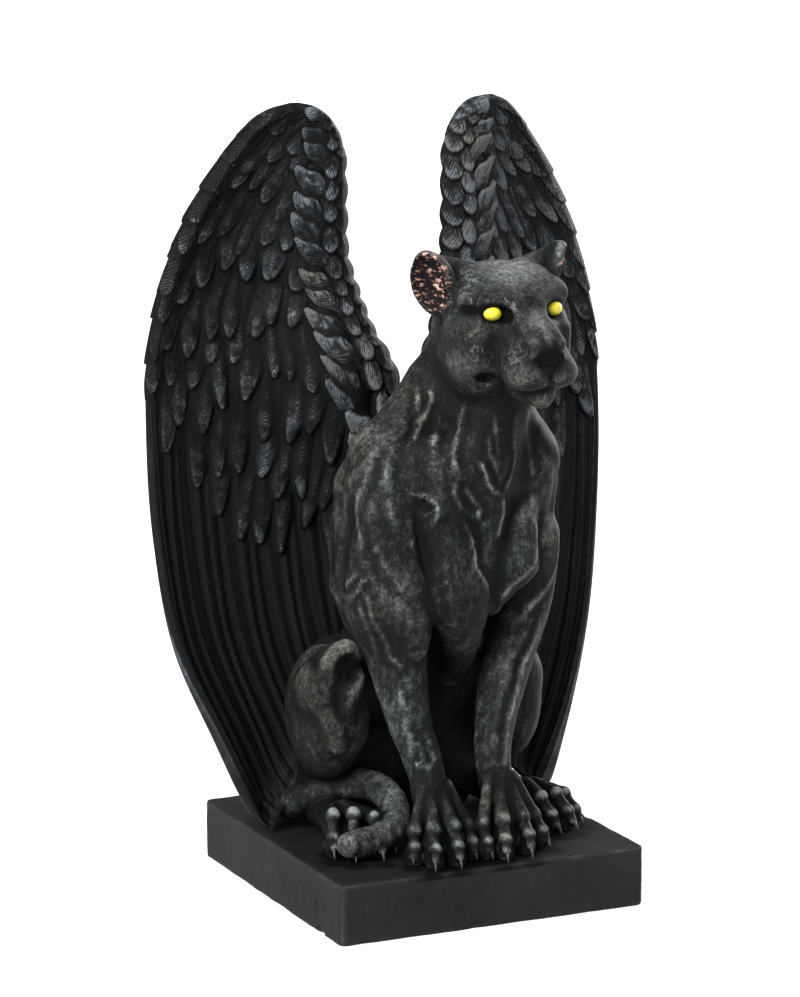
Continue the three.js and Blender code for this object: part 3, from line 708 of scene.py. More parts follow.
class Wing:
    """The left wing's middle surface, as a grid from its top to its tip and from its inner edge to its outer one."""

    def __init__(self):
        inner, outer = wing_edge(WING_INNER, WING_ROWS), wing_edge(WING_OUTER, WING_ROWS)
        self.down = np.linspace(0, 1, WING_ROWS)
        even = np.linspace(0, 1, WING_COLUMNS)
        self.across = even - 0.085 * np.sin(2 * math.pi * even)
        share = self.across[None, :, None]
        self.sheet = inner[:, None] * (1 - share) + outer[:, None] * share
        self.width = np.linalg.norm(outer - inner, axis=1)
        self.full = np.minimum(1, self.width / 16)
        band = np.interp(self.down, *zip(*BAND_EDGE))[:, None]
        share = share[..., 0]
        beyond = np.clip((share - 0.8 * band) / (1 - 0.8 * band), 0, 1)
        self.sheet[..., 1] += (outer[:, 1] - inner[:, 1])[:, None] * (beyond - share)
        swell = np.exp(-((share - 0.45 * band) / (0.5 * band + 0.02)) ** 2)
        bend = WING_BOW * 4 * beyond * (1 - beyond) - 1.5 * swell
        self.sheet[..., 1] += bend * smooth_step(self.down, 0, 0.2)[:, None]
        along, aside = np.gradient(self.sheet, axis=0), np.gradient(self.sheet, axis=1)
        normal = np.cross(along, aside)
        size = np.linalg.norm(normal, axis=2, keepdims=True)
        normal = normal / np.maximum(size, 1e-9)
        normal = np.where(normal[..., 1:2] > 0, -normal, normal)
        slim = (np.clip(self.full * 1.6, 0, 1) * smooth_step(self.down, 0.01, 0.07))[:, None, None]
        normal = normal * slim + np.array([0, -1.0, 0]) * (1 - slim)
        self.normal = normal / np.linalg.norm(normal, axis=2, keepdims=True)
        self.spots = self.sheet[..., [0, 2]].reshape(-1, 2)
        self.s = np.repeat(self.down, WING_COLUMNS)
        self.t = np.tile(self.across, WING_ROWS)
        self.from_outer = (1 - self.t) * np.repeat(self.width, WING_COLUMNS)
        self.length = np.linalg.norm(np.diff(outer, axis=0), axis=1).sum()
        self.relief = np.zeros(len(self.spots))
        self.barb = np.zeros(len(self.spots))
        self.shade = np.zeros(len(self.spots))
        self.owner = np.zeros(len(self.spots))

    def spot(self, s, t):
        """The place in X and Z of a point given as shares down and across."""
        row = np.clip(np.asarray(s) * (WING_ROWS - 1), 0, WING_ROWS - 1)
        low = np.minimum(row.astype(int), WING_ROWS - 2)
        part = (row - low)[..., None]
        first, last = [self.sheet[:, c][:, [0, 2]] for c in (0, -1)]
        first, last = [e[low] * (1 - part) + e[low + 1] * part for e in (first, last)]
        share = np.asarray(t)[..., None]
        return first * (1 - share) + last * share

    def wide(self, s):
        return float(np.interp(s, self.down, self.width))

    def primaries(self):
        """Long narrow feathers side by side, which follow the outer edge down to the tip."""
        uneven = 0.9 * np.sin(0.41 * self.from_outer + 5 * self.s) + 0.5 * np.sin(1.07 * self.from_outer - 9 * self.s)
        count = (self.from_outer + uneven) / PRIMARY_WIDTH
        number = np.floor(count)
        part = count - number
        strip = 1 - (2 * part - 1) ** 2
        shaft = np.exp(-((part - 0.45) / 0.08) ** 2)
        along = self.s * self.length
        phase = (along * 0.5 - np.abs(part - 0.45) * PRIMARY_WIDTH * 0.85) / BARB_PITCH
        comb = np.abs(np.sin(math.pi * phase)) * np.sqrt(np.maximum(strip, 0)) * (1 - shaft)
        made = 0.2 + 0.9 * np.sqrt(np.maximum(strip, 0)) + 0.7 * part + 0.6 * shaft + 0.03 * comb
        self.relief = made + 0.3 * np.sin(number * 2.3)
        self.owner = -1.0 - number
        rim = np.exp(-(self.from_outer / 2.6) ** 2) * smooth_step(self.s, 0.38, 0.5)
        ridge = np.exp(-((part - 0.9) / 0.09) ** 2) * (0.55 + 0.45 * np.sin(number * 3.7 + 7 * self.s))
        self.shade = 0.3 + 0.15 * shaft + 0.12 * np.sin(number * 5.1) + 0.75 * rim + 0.45 * ridge

    def feather(self, base, tip, width, low=0.5, lift=1.5, barbs=0.22, blunt=0.55, tilt=0.25, bow=0.0,
                slant=26.0, shade=0.5, camber=1.2, ends=2.1, root=1.0):
        """One feather from its base to its tip, given as shares down and across, and its width."""
        share = np.linspace(0, 1, 16)
        s = base[0] + (tip[0] - base[0]) * share
        t = base[1] + (tip[1] - base[1]) * share + bow * np.sin(math.pi * share)
        axis = self.spot(s, t)
        reach = width * 0.7
        near = np.all((self.spots > axis.min(0) - reach) & (self.spots < axis.max(0) + reach), axis=1)
        here = np.flatnonzero(near)
        if len(here) == 0:
            return
        p = self.spots[here]
        closest = ((p[:, None] - axis[None]) ** 2).sum(2).argmin(1)
        ahead = np.gradient(axis, axis=0)
        step = np.linalg.norm(ahead, axis=1)
        ahead = ahead / step[:, None]
        gap = p - axis[closest]
        along = closest * step.mean() + (gap * ahead[closest]).sum(1)
        off = gap[:, 0] * ahead[closest, 1] - gap[:, 1] * ahead[closest, 0]
        u = along / (step.mean() * 15)
        v = off / (width / 2)
        round_off = np.clip((u - (1 - blunt)) / blunt, 0, 1)
        half = np.maximum(1 - round_off ** ends, 1e-4) ** 0.5 * (root + (1 - root) * smooth_step(u, -0.05, 0.45))
        edge = 1 - np.abs(v) / half
        inside = (edge > 0) & (u > -0.05) & (u < 1)
        shaft = np.exp(-(v / 0.14) ** 2) * (1 - smooth_step(u, 0.75, 0.95))
        turn = math.radians(slant)
        phase = (along * math.sin(turn) - np.abs(off) * math.cos(turn)) / BARB_PITCH
        phase = phase + 0.3 * np.sin(0.45 * along + 40 * base[0] + 9 * base[1]) * min(1.0, slant / 40)
        comb = np.abs(np.sin(math.pi * phase)) - 0.6
        top = low * (root + (1 - root) * smooth_step(u, 0, 0.4)) + lift * np.clip(u, 0, 1) ** 2.2 + camber * (1 - v ** 2) + tilt * v + 0.3 * shaft
        top = top + barbs * 2 * comb * smooth_step(edge, 0.0, 0.3) * (1 - shaft)
        rise = top * (0.1 + 0.9 * smooth_step(edge, 0, 0.25))
        over = inside & (rise > self.relief[here])
        chosen = here[over]
        self.relief[chosen] = rise[over]
        self.barb[chosen] = phase[over]
        self.shade[chosen] = shade + 0.1 + 0.16 * smooth_step(u[over], 0.5, 1.0)
        self.owner[chosen] = self.owner.max() + 1

    def apart(self):
        """1 on a feather and 0 along its borders, where the next one begins."""
        owner = self.owner.reshape(WING_ROWS, WING_COLUMNS)
        border = np.zeros(owner.shape)
        for axis in (0, 1):
            step = np.diff(owner, axis=axis) != 0
            first, last = [(slice(None),) * axis + (part,) for part in (slice(None, -1), slice(1, None))]
            border[first] = np.maximum(border[first], step)
            border[last] = np.maximum(border[last], step)
        return 1 - border.ravel()

    def coverts(self):
        """Rows of feathers that lap over each other, the lowest row first."""
        for row, (tips, length, lean, lift) in enumerate(COVERT_ROWS):
            start, stop = tips[0][0], tips[-1][0]
            middle = np.interp((start + stop) / 2, *zip(*tips))
            count = max(2, int(round((stop - start) * self.wide(middle) / FEATHER_PITCH)))
            for i in range(count + 1):
                seed = 31.0 * row + i
                t = start + (stop - start) * (i + 0.15 * ruffle(seed)) / count
                s = np.interp(t, *zip(*tips)) + 0.017 * ruffle(seed + 7)
                wide = FEATHER_PITCH * (1.24 + 0.22 * ruffle(seed + 3))
                start_across = t - lean + 0.05 * ruffle(seed + 13)
                self.feather((s - length / self.length, start_across), (s, t), wide,
                             lift=1.4 * lift * (1 + 0.25 * ruffle(seed + 5)), tilt=0.4 * ruffle(seed + 9),
                             bow=0.03 * ruffle(seed + 15), ends=1.75 + 0.4 * ruffle(seed + 17), shade=0.52 - 0.62 * s + 0.16 * ruffle(seed + 11))

    def leaf(self, s, t, out, up, width, **look):
        """A short feather whose tip is at a place on the wing, given how far out and up it points in millimetres."""
        base = (s + up / self.length, t - out / self.wide(s))
        self.feather(base, (s, t), width, root=0.5, **look)

    def scales(self):
        """Short feathers along the leading edge, in three columns, the lowest of each first."""
        step = SCALE_STEP / self.length
        for k in range(SCALE_ROWS - 1, -1, -1):
            seed = 400 + 9 * k
            s = 0.02 + (k + 0.15 * ruffle(seed)) * step
            share = np.interp(s, *zip(*BAND_EDGE))
            if share * self.wide(s) < 5:
                continue
            low = 1.6 + 0.8 * smooth_step(s, 0.34, 0.4)
            # Painted light: the lower scales of the band, beside the shoulder where the body shades them, are painted
            # paler
            paler = 0.3 * smooth_step(s, 0.27, 0.37)
            self.leaf(s, share * (1 + 0.08 * ruffle(seed + 1)), 9.0 + 1.5 * ruffle(seed + 2), 16.0 + 2.5 * ruffle(seed + 3),
                      8.2 + 1.0 * ruffle(seed + 4), low=low, lift=3.0, barbs=0.2, tilt=0.4 * ruffle(seed + 5),
                      slant=20, camber=1.0, ends=1.6, blunt=0.8, shade=0.72 + paler + 0.14 * ruffle(seed + 6))
            self.leaf(s + 0.75 * step, 0.20 * share, -1.0, -14.0, 9.0, low=low - 0.4, lift=2.4, barbs=0.22, blunt=0.7,
                      tilt=0.4 * ruffle(seed + 7), slant=20, camber=1.0, shade=0.36 + paler + 0.1 * ruffle(seed + 8))
            self.leaf(s + (0.45 + 0.15 * ruffle(seed + 9)) * step, 0.50 * share, 1.5 * ruffle(seed + 10), -13.0,
                      7.2 + 0.8 * ruffle(seed + 11), low=low, lift=2.0, barbs=0.24, blunt=0.6,
                      tilt=0.4 * ruffle(seed + 12), slant=20, camber=1.0, shade=0.68 + paler + 0.15 * ruffle(seed + 13))

    def margin(self):
        """Feathers along the outer edge, down to where the primaries lie bare, the lowest first."""
        for k in range(MARGIN_ROWS - 1, -1, -1):
            seed = 700 + 9 * k
            s = 0.06 + (k + 0.2 * ruffle(seed)) * MARGIN_STEP
            self.feather((s - 0.13, 0.90), (s, 0.98 + 0.01 * ruffle(seed + 1)), 9.0 + ruffle(seed + 2), low=0.9,
                         lift=2.2, bow=0.02 * ruffle(seed + 4), ends=1.7, shade=0.34 - 0.4 * s + 0.15 * ruffle(seed + 3))

    def half_thickness(self):
        """Half the plain wing's thickness: thick at the bones along the inner edge, thin at the outer one."""
        t, s = self.t, self.s
        band = np.interp(s, *zip(*BAND_EDGE))
        inner = 1.0 + 1.6 * np.exp(-((t - 0.45 * band) / (0.55 * band + 0.02)) ** 2) * (1 - smooth_step(s, 0.45, 0.7))
        inner = inner + 1.0 * (1 - smooth_step(s, 0.02, 0.14))
        near_inner = np.sqrt(np.clip(1 - (1 - np.clip(t / 0.08, 0, 1)) ** 2, 0, 1))
        near_outer = np.sqrt(np.clip(1 - (1 - np.clip((1 - t) / 0.02, 0, 1)) ** 2, 0, 1))
        low = smooth_step(s, 0.35, 0.5)
        rim = (0.3 + 0.6 * low) * np.exp(-((self.from_outer - 1.0 - 0.6 * low) / (0.8 + 0.5 * low)) ** 2)
        return inner * near_inner * near_outer + rim * near_outer

    def surface(self):
        """The points of the front and of the back."""
        shape = (WING_ROWS, WING_COLUMNS)
        grid = blurred(self.relief.reshape(shape), 1)
        below = np.clip(self.down * self.length / 7, 0, 1)[:, None]
        fade = np.clip(9 * self.across, 0, 1)[None] * np.clip(self.from_outer.reshape(shape) / 2.4, 0, 1)
        fade = fade * smooth_step(self.full, 0, 1)[:, None] * smooth_step(self.down * self.length, 0, 16)[:, None]
        thick = self.half_thickness().reshape(shape) * (np.sqrt(self.full)[:, None] * np.sqrt(1 - (1 - below) ** 2))
        front = self.sheet + self.normal * (thick + grid * fade)[..., None]
        behind = self.sheet - self.normal * (thick + 0.8 * grid * fade)[..., None]
        step = SCALE_STEP / self.length
        scallop = 1.3 * np.abs(np.sin(math.pi * (self.down / step + 0.3 * np.sin(23 * self.down))))
        scallop = scallop * (1 - smooth_step(self.down, 0.42, 0.52)) * smooth_step(self.down, 0.05, 0.12)
        notches = 1.1 * (0.5 + self.down / 0.058 + 0.2 * np.sin(31 * self.down)) % 1.1
        notches = notches * smooth_step(self.down, 0.05, 0.12) * (1 - smooth_step(self.down, 0.40, 0.44))
        for face in (front, behind):
            face[..., 0] -= scallop[:, None] * np.clip(1 - self.across / 0.12, 0, 1)[None]
            face[..., 0] += notches[:, None] * np.clip((self.across - 0.9) / 0.1, 0, 1)[None]
        behind[:, 0], behind[:, -1] = front[:, 0], front[:, -1]
        behind[0], behind[-1] = front[0], front[-1]
        return front, behind


def blurred(grid, steps):
    """A grid smoothed along both its ways."""
    made = grid.copy()
    for _ in range(steps):
        padded = np.pad(made, 1, mode="edge")
        made = 0.5 * made + 0.25 * (padded[:-2, 1:-1] + padded[2:, 1:-1])
        padded = np.pad(made, 1, mode="edge")
        made = 0.5 * made + 0.25 * (padded[1:-1, :-2] + padded[1:-1, 2:])
    return made


def wing_arrays():
    """The left wing's points, triangles and named values for each point, in millimetres."""
    wing = Wing()
    wing.primaries()
    wing.margin()
    wing.coverts()
    wing.scales()
    front, behind = wing.surface()
    rows, columns = WING_ROWS, WING_COLUMNS
    index = np.arange(rows * columns).reshape(rows, columns)
    points = np.vstack([front.reshape(-1, 3), behind.reshape(-1, 3)])
    grid = wing.relief.reshape(rows, columns)
    fine = (grid - blurred(grid, 8)).ravel()
    broad = (grid - blurred(grid, 90)).ravel()
    a, b, c, d = [part.ravel() for part in (index[:-1, :-1], index[1:, :-1], index[1:, 1:], index[:-1, 1:])]
    front_faces = np.vstack([np.stack([a, b, c], 1), np.stack([a, c, d], 1)])
    faces = np.vstack([front_faces, front_faces[:, ::-1] + rows * columns])
    values = {"fine": fine, "broad": broad, "barb": wing.barb, "shade": wing.shade, "apart": wing.apart()}
    return points, faces, {name: np.tile(given, 2) for name, given in values.items()}


def welded(points, faces, values):
    """Points that lie at one spot become one, and faces with no area go."""
    keys = np.round(points * 500).astype(np.int64)
    _, first, same = np.unique(keys, axis=0, return_index=True, return_inverse=True)
    faces = same.ravel()[faces]
    whole = (faces[:, 0] != faces[:, 1]) & (faces[:, 1] != faces[:, 2]) & (faces[:, 2] != faces[:, 0])
    return points[first], faces[whole], {name: given[first] for name, given in values.items()}


def with_values(made, values):
    """Named values for each point, for the material to read."""
    for name, given in values.items():
        layer = made.data.attributes.new(name, "FLOAT", "POINT")
        layer.data.foreach_set("value", given.astype(np.float32))
    return made


def eye_points():
    """A closed egg for each eye, in millimetres."""
    rings, spokes = 14, 24
    turn = turned((HEAD_NOD, 0, HEAD_TURN))
    made, faces = [], []
    for side in (-1, 1):
        first = len(made)
        out = turned((0, 0, side * EYE_TOE_OUT))
        for i in range(rings + 1):
            for j in range(spokes):
                u, v = math.pi * i / rings, 2 * math.pi * j / spokes
                local = np.array([math.sin(u) * math.cos(v), math.sin(u) * math.sin(v), math.cos(u)]) * EYE_HALVES
                made.append(turn @ (out @ local + EYES[side]) + HEAD)
        for i in range(rings):
            for j in range(spokes):
                a, b = first + i * spokes + j, first + i * spokes + (j + 1) % spokes
                faces.append((a, b, b + spokes, a + spokes))
    return np.array(made), np.array(faces)


# The block's worn corners and edges, and how far apart the points of its mesh are
BLOCK_CORNER = 3.0
BLOCK_EDGE = 1.1
BLOCK_STEP = 0.95
# Knocks in the block: centre, half sizes and depth
KNOCKS = [((33, -65.5, 23), (2.8, 1.8, 1.6), 1.3), ((-62.5, -47, 1.0), (2.0, 3.4, 1.8), 1.1),
          ((-62.5, -44, 8.5), (1.2, 2.4, 3.4), 0.7), ((-47, -44, 23), (14, 7, 1.6), 0.8),
          ((62.5, -20, 22.5), (1.6, 3, 1.4), 0.8), ((20, 65.5, 22.6), (3.4, 1.6, 1.5), 0.9),
          ((-30, 65.5, 1.0), (3, 1.4, 1.6), 0.8), ((61, 65.5, 12), (1.8, 1.4, 4.0), 0.8),
          ((-62.5, 22, 22.6), (1.6, 2.6, 1.4), 0.7), ((-8, -65.5, 0.8), (3.0, 1.5, 1.4), 0.7)]


def places_between(low, high, step):
    """Places from low to high, closest together near both ends."""
    share = np.linspace(0, 1, int((high - low) / step) + 2)
    return low + (high - low) * (share - 0.09 * np.sin(2 * math.pi * share))


def box_sheets(low, high, step):
    """A box as points and triangles, with a fine grid on each side."""
    points, faces, first = [], [], 0
    for axis in range(3):
        u, v = [k for k in range(3) if k != axis]
        us, vs = places_between(low[u], high[u], step), places_between(low[v], high[v], step)
        for upper in (False, True):
            sheet = np.zeros((len(us), len(vs), 3))
            sheet[..., axis] = high[axis] if upper else low[axis]
            sheet[..., u], sheet[..., v] = us[:, None], vs[None]
            index = first + np.arange(sheet[..., 0].size).reshape(sheet.shape[:2])
            a, b, c, d = [part.ravel() for part in (index[:-1, :-1], index[1:, :-1], index[1:, 1:], index[:-1, 1:])]
            made = np.vstack([np.stack([a, b, c], 1), np.stack([a, c, d], 1)])
            faces.append(made if upper == (axis != 1) else made[:, ::-1])
            points.append(sheet.reshape(-1, 3))
            first += sheet[..., 0].size
    return np.vstack(points), np.vstack(faces)


def rounded(points, low, high, edge):
    """The box's points moved onto round upright corners and round edges at its top and foot."""
    plan = points[:, :2]
    core = np.clip(plan, low[:2] + BLOCK_CORNER, high[:2] - BLOCK_CORNER)
    gap = plan - core
    far = np.linalg.norm(gap, axis=1)
    outward = gap / np.maximum(far, 1e-9)[:, None]
    far = np.minimum(far, BLOCK_CORNER)
    a = np.maximum(edge - (BLOCK_CORNER - far), 0) * (far > 0)
    above, below = points[:, 2] - (high[2] - edge), (low[2] + edge) - points[:, 2]
    b = np.maximum(np.maximum(above, below), 0)
    share = np.minimum(1, edge / np.maximum(np.hypot(a, b), 1e-9))
    plan = core + outward * (far - a * (1 - share))[:, None]
    height = points[:, 2] - np.where(above > 0, 1, -1) * b * (1 - share)
    return np.column_stack([plan, height])


def worn_block():
    """The block with worn edges and knocks, how worn each point is, and how much painted shade darkens it: most round
    the feet, and a little over all its top.
    """
    low, high = [np.array(corner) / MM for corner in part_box("plinth")]
    points, faces, _ = welded(*box_sheets(low, high, BLOCK_STEP), {})
    edge = BLOCK_EDGE * (1 + 0.3 * lattice_noise(points, 9, 3) + 0.2 * lattice_noise(points, 3, 4))
    made = rounded(points, low, high, edge)
    middle = (low + high) / 2
    inward = (middle - made) / np.linalg.norm(middle - made, axis=1, keepdims=True)
    for centre, halves, depth in KNOCKS:
        share = 1 - (((made - centre) / np.array(halves)) ** 2).sum(1)
        made = made + inward * (depth * np.sqrt(np.maximum(share, 0)))[:, None]
    normals = Skin(made, faces).normals()
    swell = 0.10 * lattice_noise(made, 5, 5) + 0.05 * lattice_noise(made, 1.6, 6) - 0.12
    resting = np.clip((made[:, 2] - low[2]) / 0.5, 0, 1)
    made = made + normals * (swell * resting)[:, None]
    near_edge = np.sort(np.minimum(points - low, high - points), axis=1)[:, 1]
    worn = np.exp(-near_edge / 1.2) * (1 + 0.6 * lattice_noise(points, 6, 7))
    # Painted shade: dark round the toes on the block's top, and fainter painted shade over the whole top
    painted_top_shade = np.zeros(len(made))
    for toes in TOES.values():
        for toe in toes:
            for spot in toe[1:]:
                gap = ((made[:, :2] - np.array(spot[:2])) ** 2).sum(1)
                painted_top_shade = np.maximum(painted_top_shade, np.exp(-gap / 6.5 ** 2))
    painted_top_shade = np.maximum(painted_top_shade * (made[:, 2] > high[2] - 2), 0.34 * (made[:, 2] > high[2] - 0.5))
    return made, faces, {"worn": worn, "painted_top_shade": painted_top_shade}


# Where the head is painted, about its own middle: (centre, half sizes), full at the centre and none at the edge
PALE_PATCHES = [((0, -2, 19), (21, 19, 12), 1.0), ((-17, -2, -3), (9, 14, 12), 0.6), ((17, -2, -3), (9, 14, 12), 0.6),
                ((0, -22, 4), (6, 16, 7), 0.9), ((-9, -30, -13), (6, 7, 6), 0.8), ((9, -30, -13), (6, 7, 6), 0.8),
                ((-21, -7, -12), (7, 12, 9), 0.6), ((21, -7, -12), (7, 12, 9), 0.6)]
BLACK_PATCHES = [((-13.6, -14.8, 7.6), (8.2, 7, 5.2), 1), ((13.6, -14.8, 7.6), (8.2, 7, 5.2), 1),
                 ((-8.0, -15.5, 5.6), (5.5, 6, 3.4), 1), ((8.0, -15.5, 5.6), (5.5, 6, 3.4), 1),
                 ((-20, -9.5, 7.8), (6, 6, 3.0), 1), ((20, -9.5, 7.8), (6, 6, 3.0), 1),
                 ((-0.6, -36, -5.8), (8.6, 6, 4.6), 1.3), ((-0.6, -38, -12.4), (1.6, 5, 6), 1),
                 ((-15.5, -16, -16.4), (3.6, 5, 2.0), 1), ((15.5, -16, -16.4), (3.6, 5, 2.0), 1)]
# Painted shade in the hollows beneath the eyes and round the corners of the mouth
HEAD_PAINTED_SHADE_PATCHES = [((-13, -20, -4), (8, 9, 11), 0.6), ((13, -20, -4), (8, 9, 11), 0.6),
                     ((-15, -15, -16), (8, 7, 6), 0.5), ((15, -15, -16), (8, 7, 6), 0.5)]

# Where the rest of the body is painted paler, and where it is darkened by painted shade together with dark paint:
# beneath the head, between the forelegs, at the belly and low at the back
BODY_PALE_PATCHES = [((-14, -46, 172), (13, 12, 20), 0.4), ((-15.5, -49, 37), (8, 8, 8), 0.9),
                     ((12.5, -49, 37), (8, 8, 8), 0.9), ((-32, -28, 166), (24, 26, 40), 0.32), ((-30, -42, 124), (14, 14, 18), 0.45), ((0, -50, 134), (10, 12, 14), 0.4),
                     ((26, -38, 150), (14, 14, 34), 0.5), ((-28, -38, 90), (12, 14, 20), 0.2), ((20, -40, 88), (12, 12, 26), 0.3)]
SHADE_AND_DARK_PAINT_PATCHES = [((16, -44, 192), (20, 22, 20), 1.1), ((12, -42, 174), (16, 18, 22), 0.9), ((0, -14, 70), (16, 20, 30), 0.8),
                ((-30, 20, 50), (30, 30, 30), 0.8), ((10, -32, 118), (16, 18, 26), 0.7), ((-8, -30, 100), (10, 14, 18), 0.6),
                ((2, -30, 92), (11, 14, 14), 0.9)]
KNUCKLE_LIGHT = (0, -1.6, 2.0)
TAIL_PALE = 1.15
TAIL_PAINT_TOP = 55
EAR_HOLLOW = (29.4, 6.4, 15.4)
EAR_HOLLOW_HALVES = (9.5, 11.5, 16)


def in_patch(points, centre, halves, weight=1.0):
    gap = np.sqrt((((points - np.array(centre)) / np.array(halves)) ** 2).sum(1))
    return weight * np.clip(1.6 * (1 - gap), 0, 1)


def on_tail(points):
    """1 on the tail and 0 away from it."""
    here = np.flatnonzero(points[:, 2] < TAIL_PAINT_TOP)
    gap = np.min([((points[here] - spot) ** 2).sum(1) for spot in curve_through(TAIL, 50)], axis=0)
    made = np.zeros(len(points))
    made[here] = np.clip((7.6 - np.sqrt(gap)) / 1.6, 0, 1)
    return made


def paint_and_painted_shade(points):
    """How pale, how black and how pink each point of the body is, with points in millimetres; the pale value is lowered
    by painted shade beneath the head, between the legs, in the face's hollows and towards the plinth.
    """
    local = (points - HEAD) @ turned((HEAD_NOD, 0, HEAD_TURN))
    pale = np.max([in_patch(local, *patch) for patch in PALE_PATCHES], axis=0)
    # Painted shade in the face's hollows takes some paleness away
    pale = pale - np.max([in_patch(local, *patch) for patch in HEAD_PAINTED_SHADE_PATCHES], axis=0)
    black = np.max([in_patch(local, *patch) for patch in BLACK_PATCHES], axis=0)
    pink = np.zeros(len(points))
    for side in (-1, 1):
        lean = turned((0, side * 16, -side * 30))
        x, y, z = EAR_HOLLOW
        about = (local - np.array((side * x, y, z))) @ lean
        pink = np.maximum(pink, in_patch(about, (0, 0, 0), EAR_HOLLOW_HALVES))
    # Painted shade, with some dark paint, beneath the head and between the legs
    dark = np.max([in_patch(points, *patch) for patch in SHADE_AND_DARK_PAINT_PATCHES], axis=0)
    body_pale = np.max([in_patch(points, *patch) for patch in BODY_PALE_PATCHES], axis=0)
    body_pale = np.maximum(body_pale, TAIL_PALE * on_tail(points))
    for toes in TOES.values():
        for toe in toes:
            for knuckle in toe[1:3]:
                spot = np.array(knuckle) + KNUCKLE_LIGHT
                body_pale = np.maximum(body_pale, in_patch(points, spot, (3.4, 3.8, 3.0), 0.95))
    # Painted shade: the body gets darker towards the plinth
    low = np.clip(1.3 - (points[:, 2] - GROUND) / 28, 0, 1)
    calm = np.clip(1.2 - np.linalg.norm(local / np.array((30, 44, 34)), axis=1), 0, 0.4) / 0.4
    return {"pale": pale + body_pale * (1 - calm) - dark - 1.4 * low + 0.25 * (calm - 1), "black": black, "pink": pink, "calm": calm}


class Look:
    """A material, built one node at a time."""

    def __init__(self, name, roughness, specular):
        self.material = bpy.data.materials.new(name)
        self.material.use_nodes = True
        self.tree = self.material.node_tree
        self.shader = self.tree.nodes["Principled BSDF"]
        self.shader.inputs["Specular IOR Level"].default_value = specular
        self.shader.inputs["Roughness"].default_value = roughness
        self.place = self.tree.nodes.new("ShaderNodeTexCoord").outputs["Object"]

    def node(self, kind, inputs, **settings):
        made = self.tree.nodes.new(kind)
        for name, value in settings.items():
            setattr(made, name, value)
        for name, value in inputs.items():
            socket = made.inputs[name]
            if isinstance(value, bpy.types.NodeSocket):
                self.tree.links.new(value, socket)
            else:
                socket.default_value = value
        return made

    def value(self, name):
        return self.node("ShaderNodeAttribute", {}, attribute_name=name).outputs["Fac"]

    def sum(self, *parts):
        """The sum of values, each given as (value, times, less)."""
        total = 0.0
        for value, times, less in parts:
            part = self.node("ShaderNodeMath", {0: value, 1: times, 2: -less * times}, operation="MULTIPLY_ADD").outputs[0]
            total = self.node("ShaderNodeMath", {0: part, 1: total}, operation="ADD").outputs[0]
        return total

    def times(self, a, b):
        return self.node("ShaderNodeMath", {0: a, 1: b}, operation="MULTIPLY").outputs[0]

    def noise(self, size, detail=3.0, rough=0.6, stretch=(1, 1, 1), turn=(0, 0, 0), twist=0.0):
        """Noise with features of about this many millimetres."""
        place = self.node("ShaderNodeMapping", {"Vector": self.place, "Scale": stretch,
                                                "Rotation": [math.radians(d) for d in turn]}).outputs[0]
        made = self.node("ShaderNodeTexNoise", {"Vector": place, "Scale": 0.5 / (size * MM), "Detail": detail,
                                                "Roughness": rough, "Distortion": twist})
        return made.outputs["Fac"]

    def ramp(self, value, low, high, stops):
        """A colour for each value between low and high: stops are (share, colour)."""
        share = self.node("ShaderNodeMapRange", {"Value": value, "From Min": low, "From Max": high}).outputs["Result"]
        made = self.node("ShaderNodeValToRGB", {"Fac": share})
        elements = made.color_ramp.elements
        while len(elements) < len(stops):
            elements.new(0.5)
        for element, (at, colour) in zip(elements, stops):
            element.position = at
            element.color = (*colour, 1)
        return made.outputs["Color"]

    def lines(self, value, width):
        """1 along the thin lines where a noise crosses its middle, 0 elsewhere."""
        away = self.sum((value, 1.0, 0.5))
        away = self.node("ShaderNodeMath", {0: away}, operation="ABSOLUTE").outputs[0]
        return self.node("ShaderNodeMapRange", {"Value": away, "From Min": 0.0, "From Max": width,
                                                "To Min": 1.0, "To Max": 0.0}).outputs["Result"]

    def between(self, value, low, high):
        """0 below low, 1 above high."""
        return self.node("ShaderNodeMapRange", {"Value": value, "From Min": low, "From Max": high}).outputs["Result"]

    def blend(self, share, first, second):
        made = self.node("ShaderNodeMix", {0: share}, data_type="RGBA")
        for socket, value in ((made.inputs[6], first), (made.inputs[7], second)):
            if isinstance(value, bpy.types.NodeSocket):
                self.tree.links.new(value, socket)
            else:
                socket.default_value = (*value, 1)
        return made.outputs[2]

    def finish(self, colour, height, depth, roughness=None):
        """The colour, the bump's height from 0 to 1, and how many millimetres that is."""
        bump = self.node("ShaderNodeBump", {"Height": height, "Distance": depth * MM, "Strength": 1.0})
        self.tree.links.new(bump.outputs[0], self.shader.inputs["Normal"])
        self.tree.links.new(colour, self.shader.inputs["Base Color"])
        if roughness is not None:
            self.tree.links.new(roughness, self.shader.inputs["Roughness"])
        return self.material


BLACK = (0.0035, 0.0037, 0.0037)


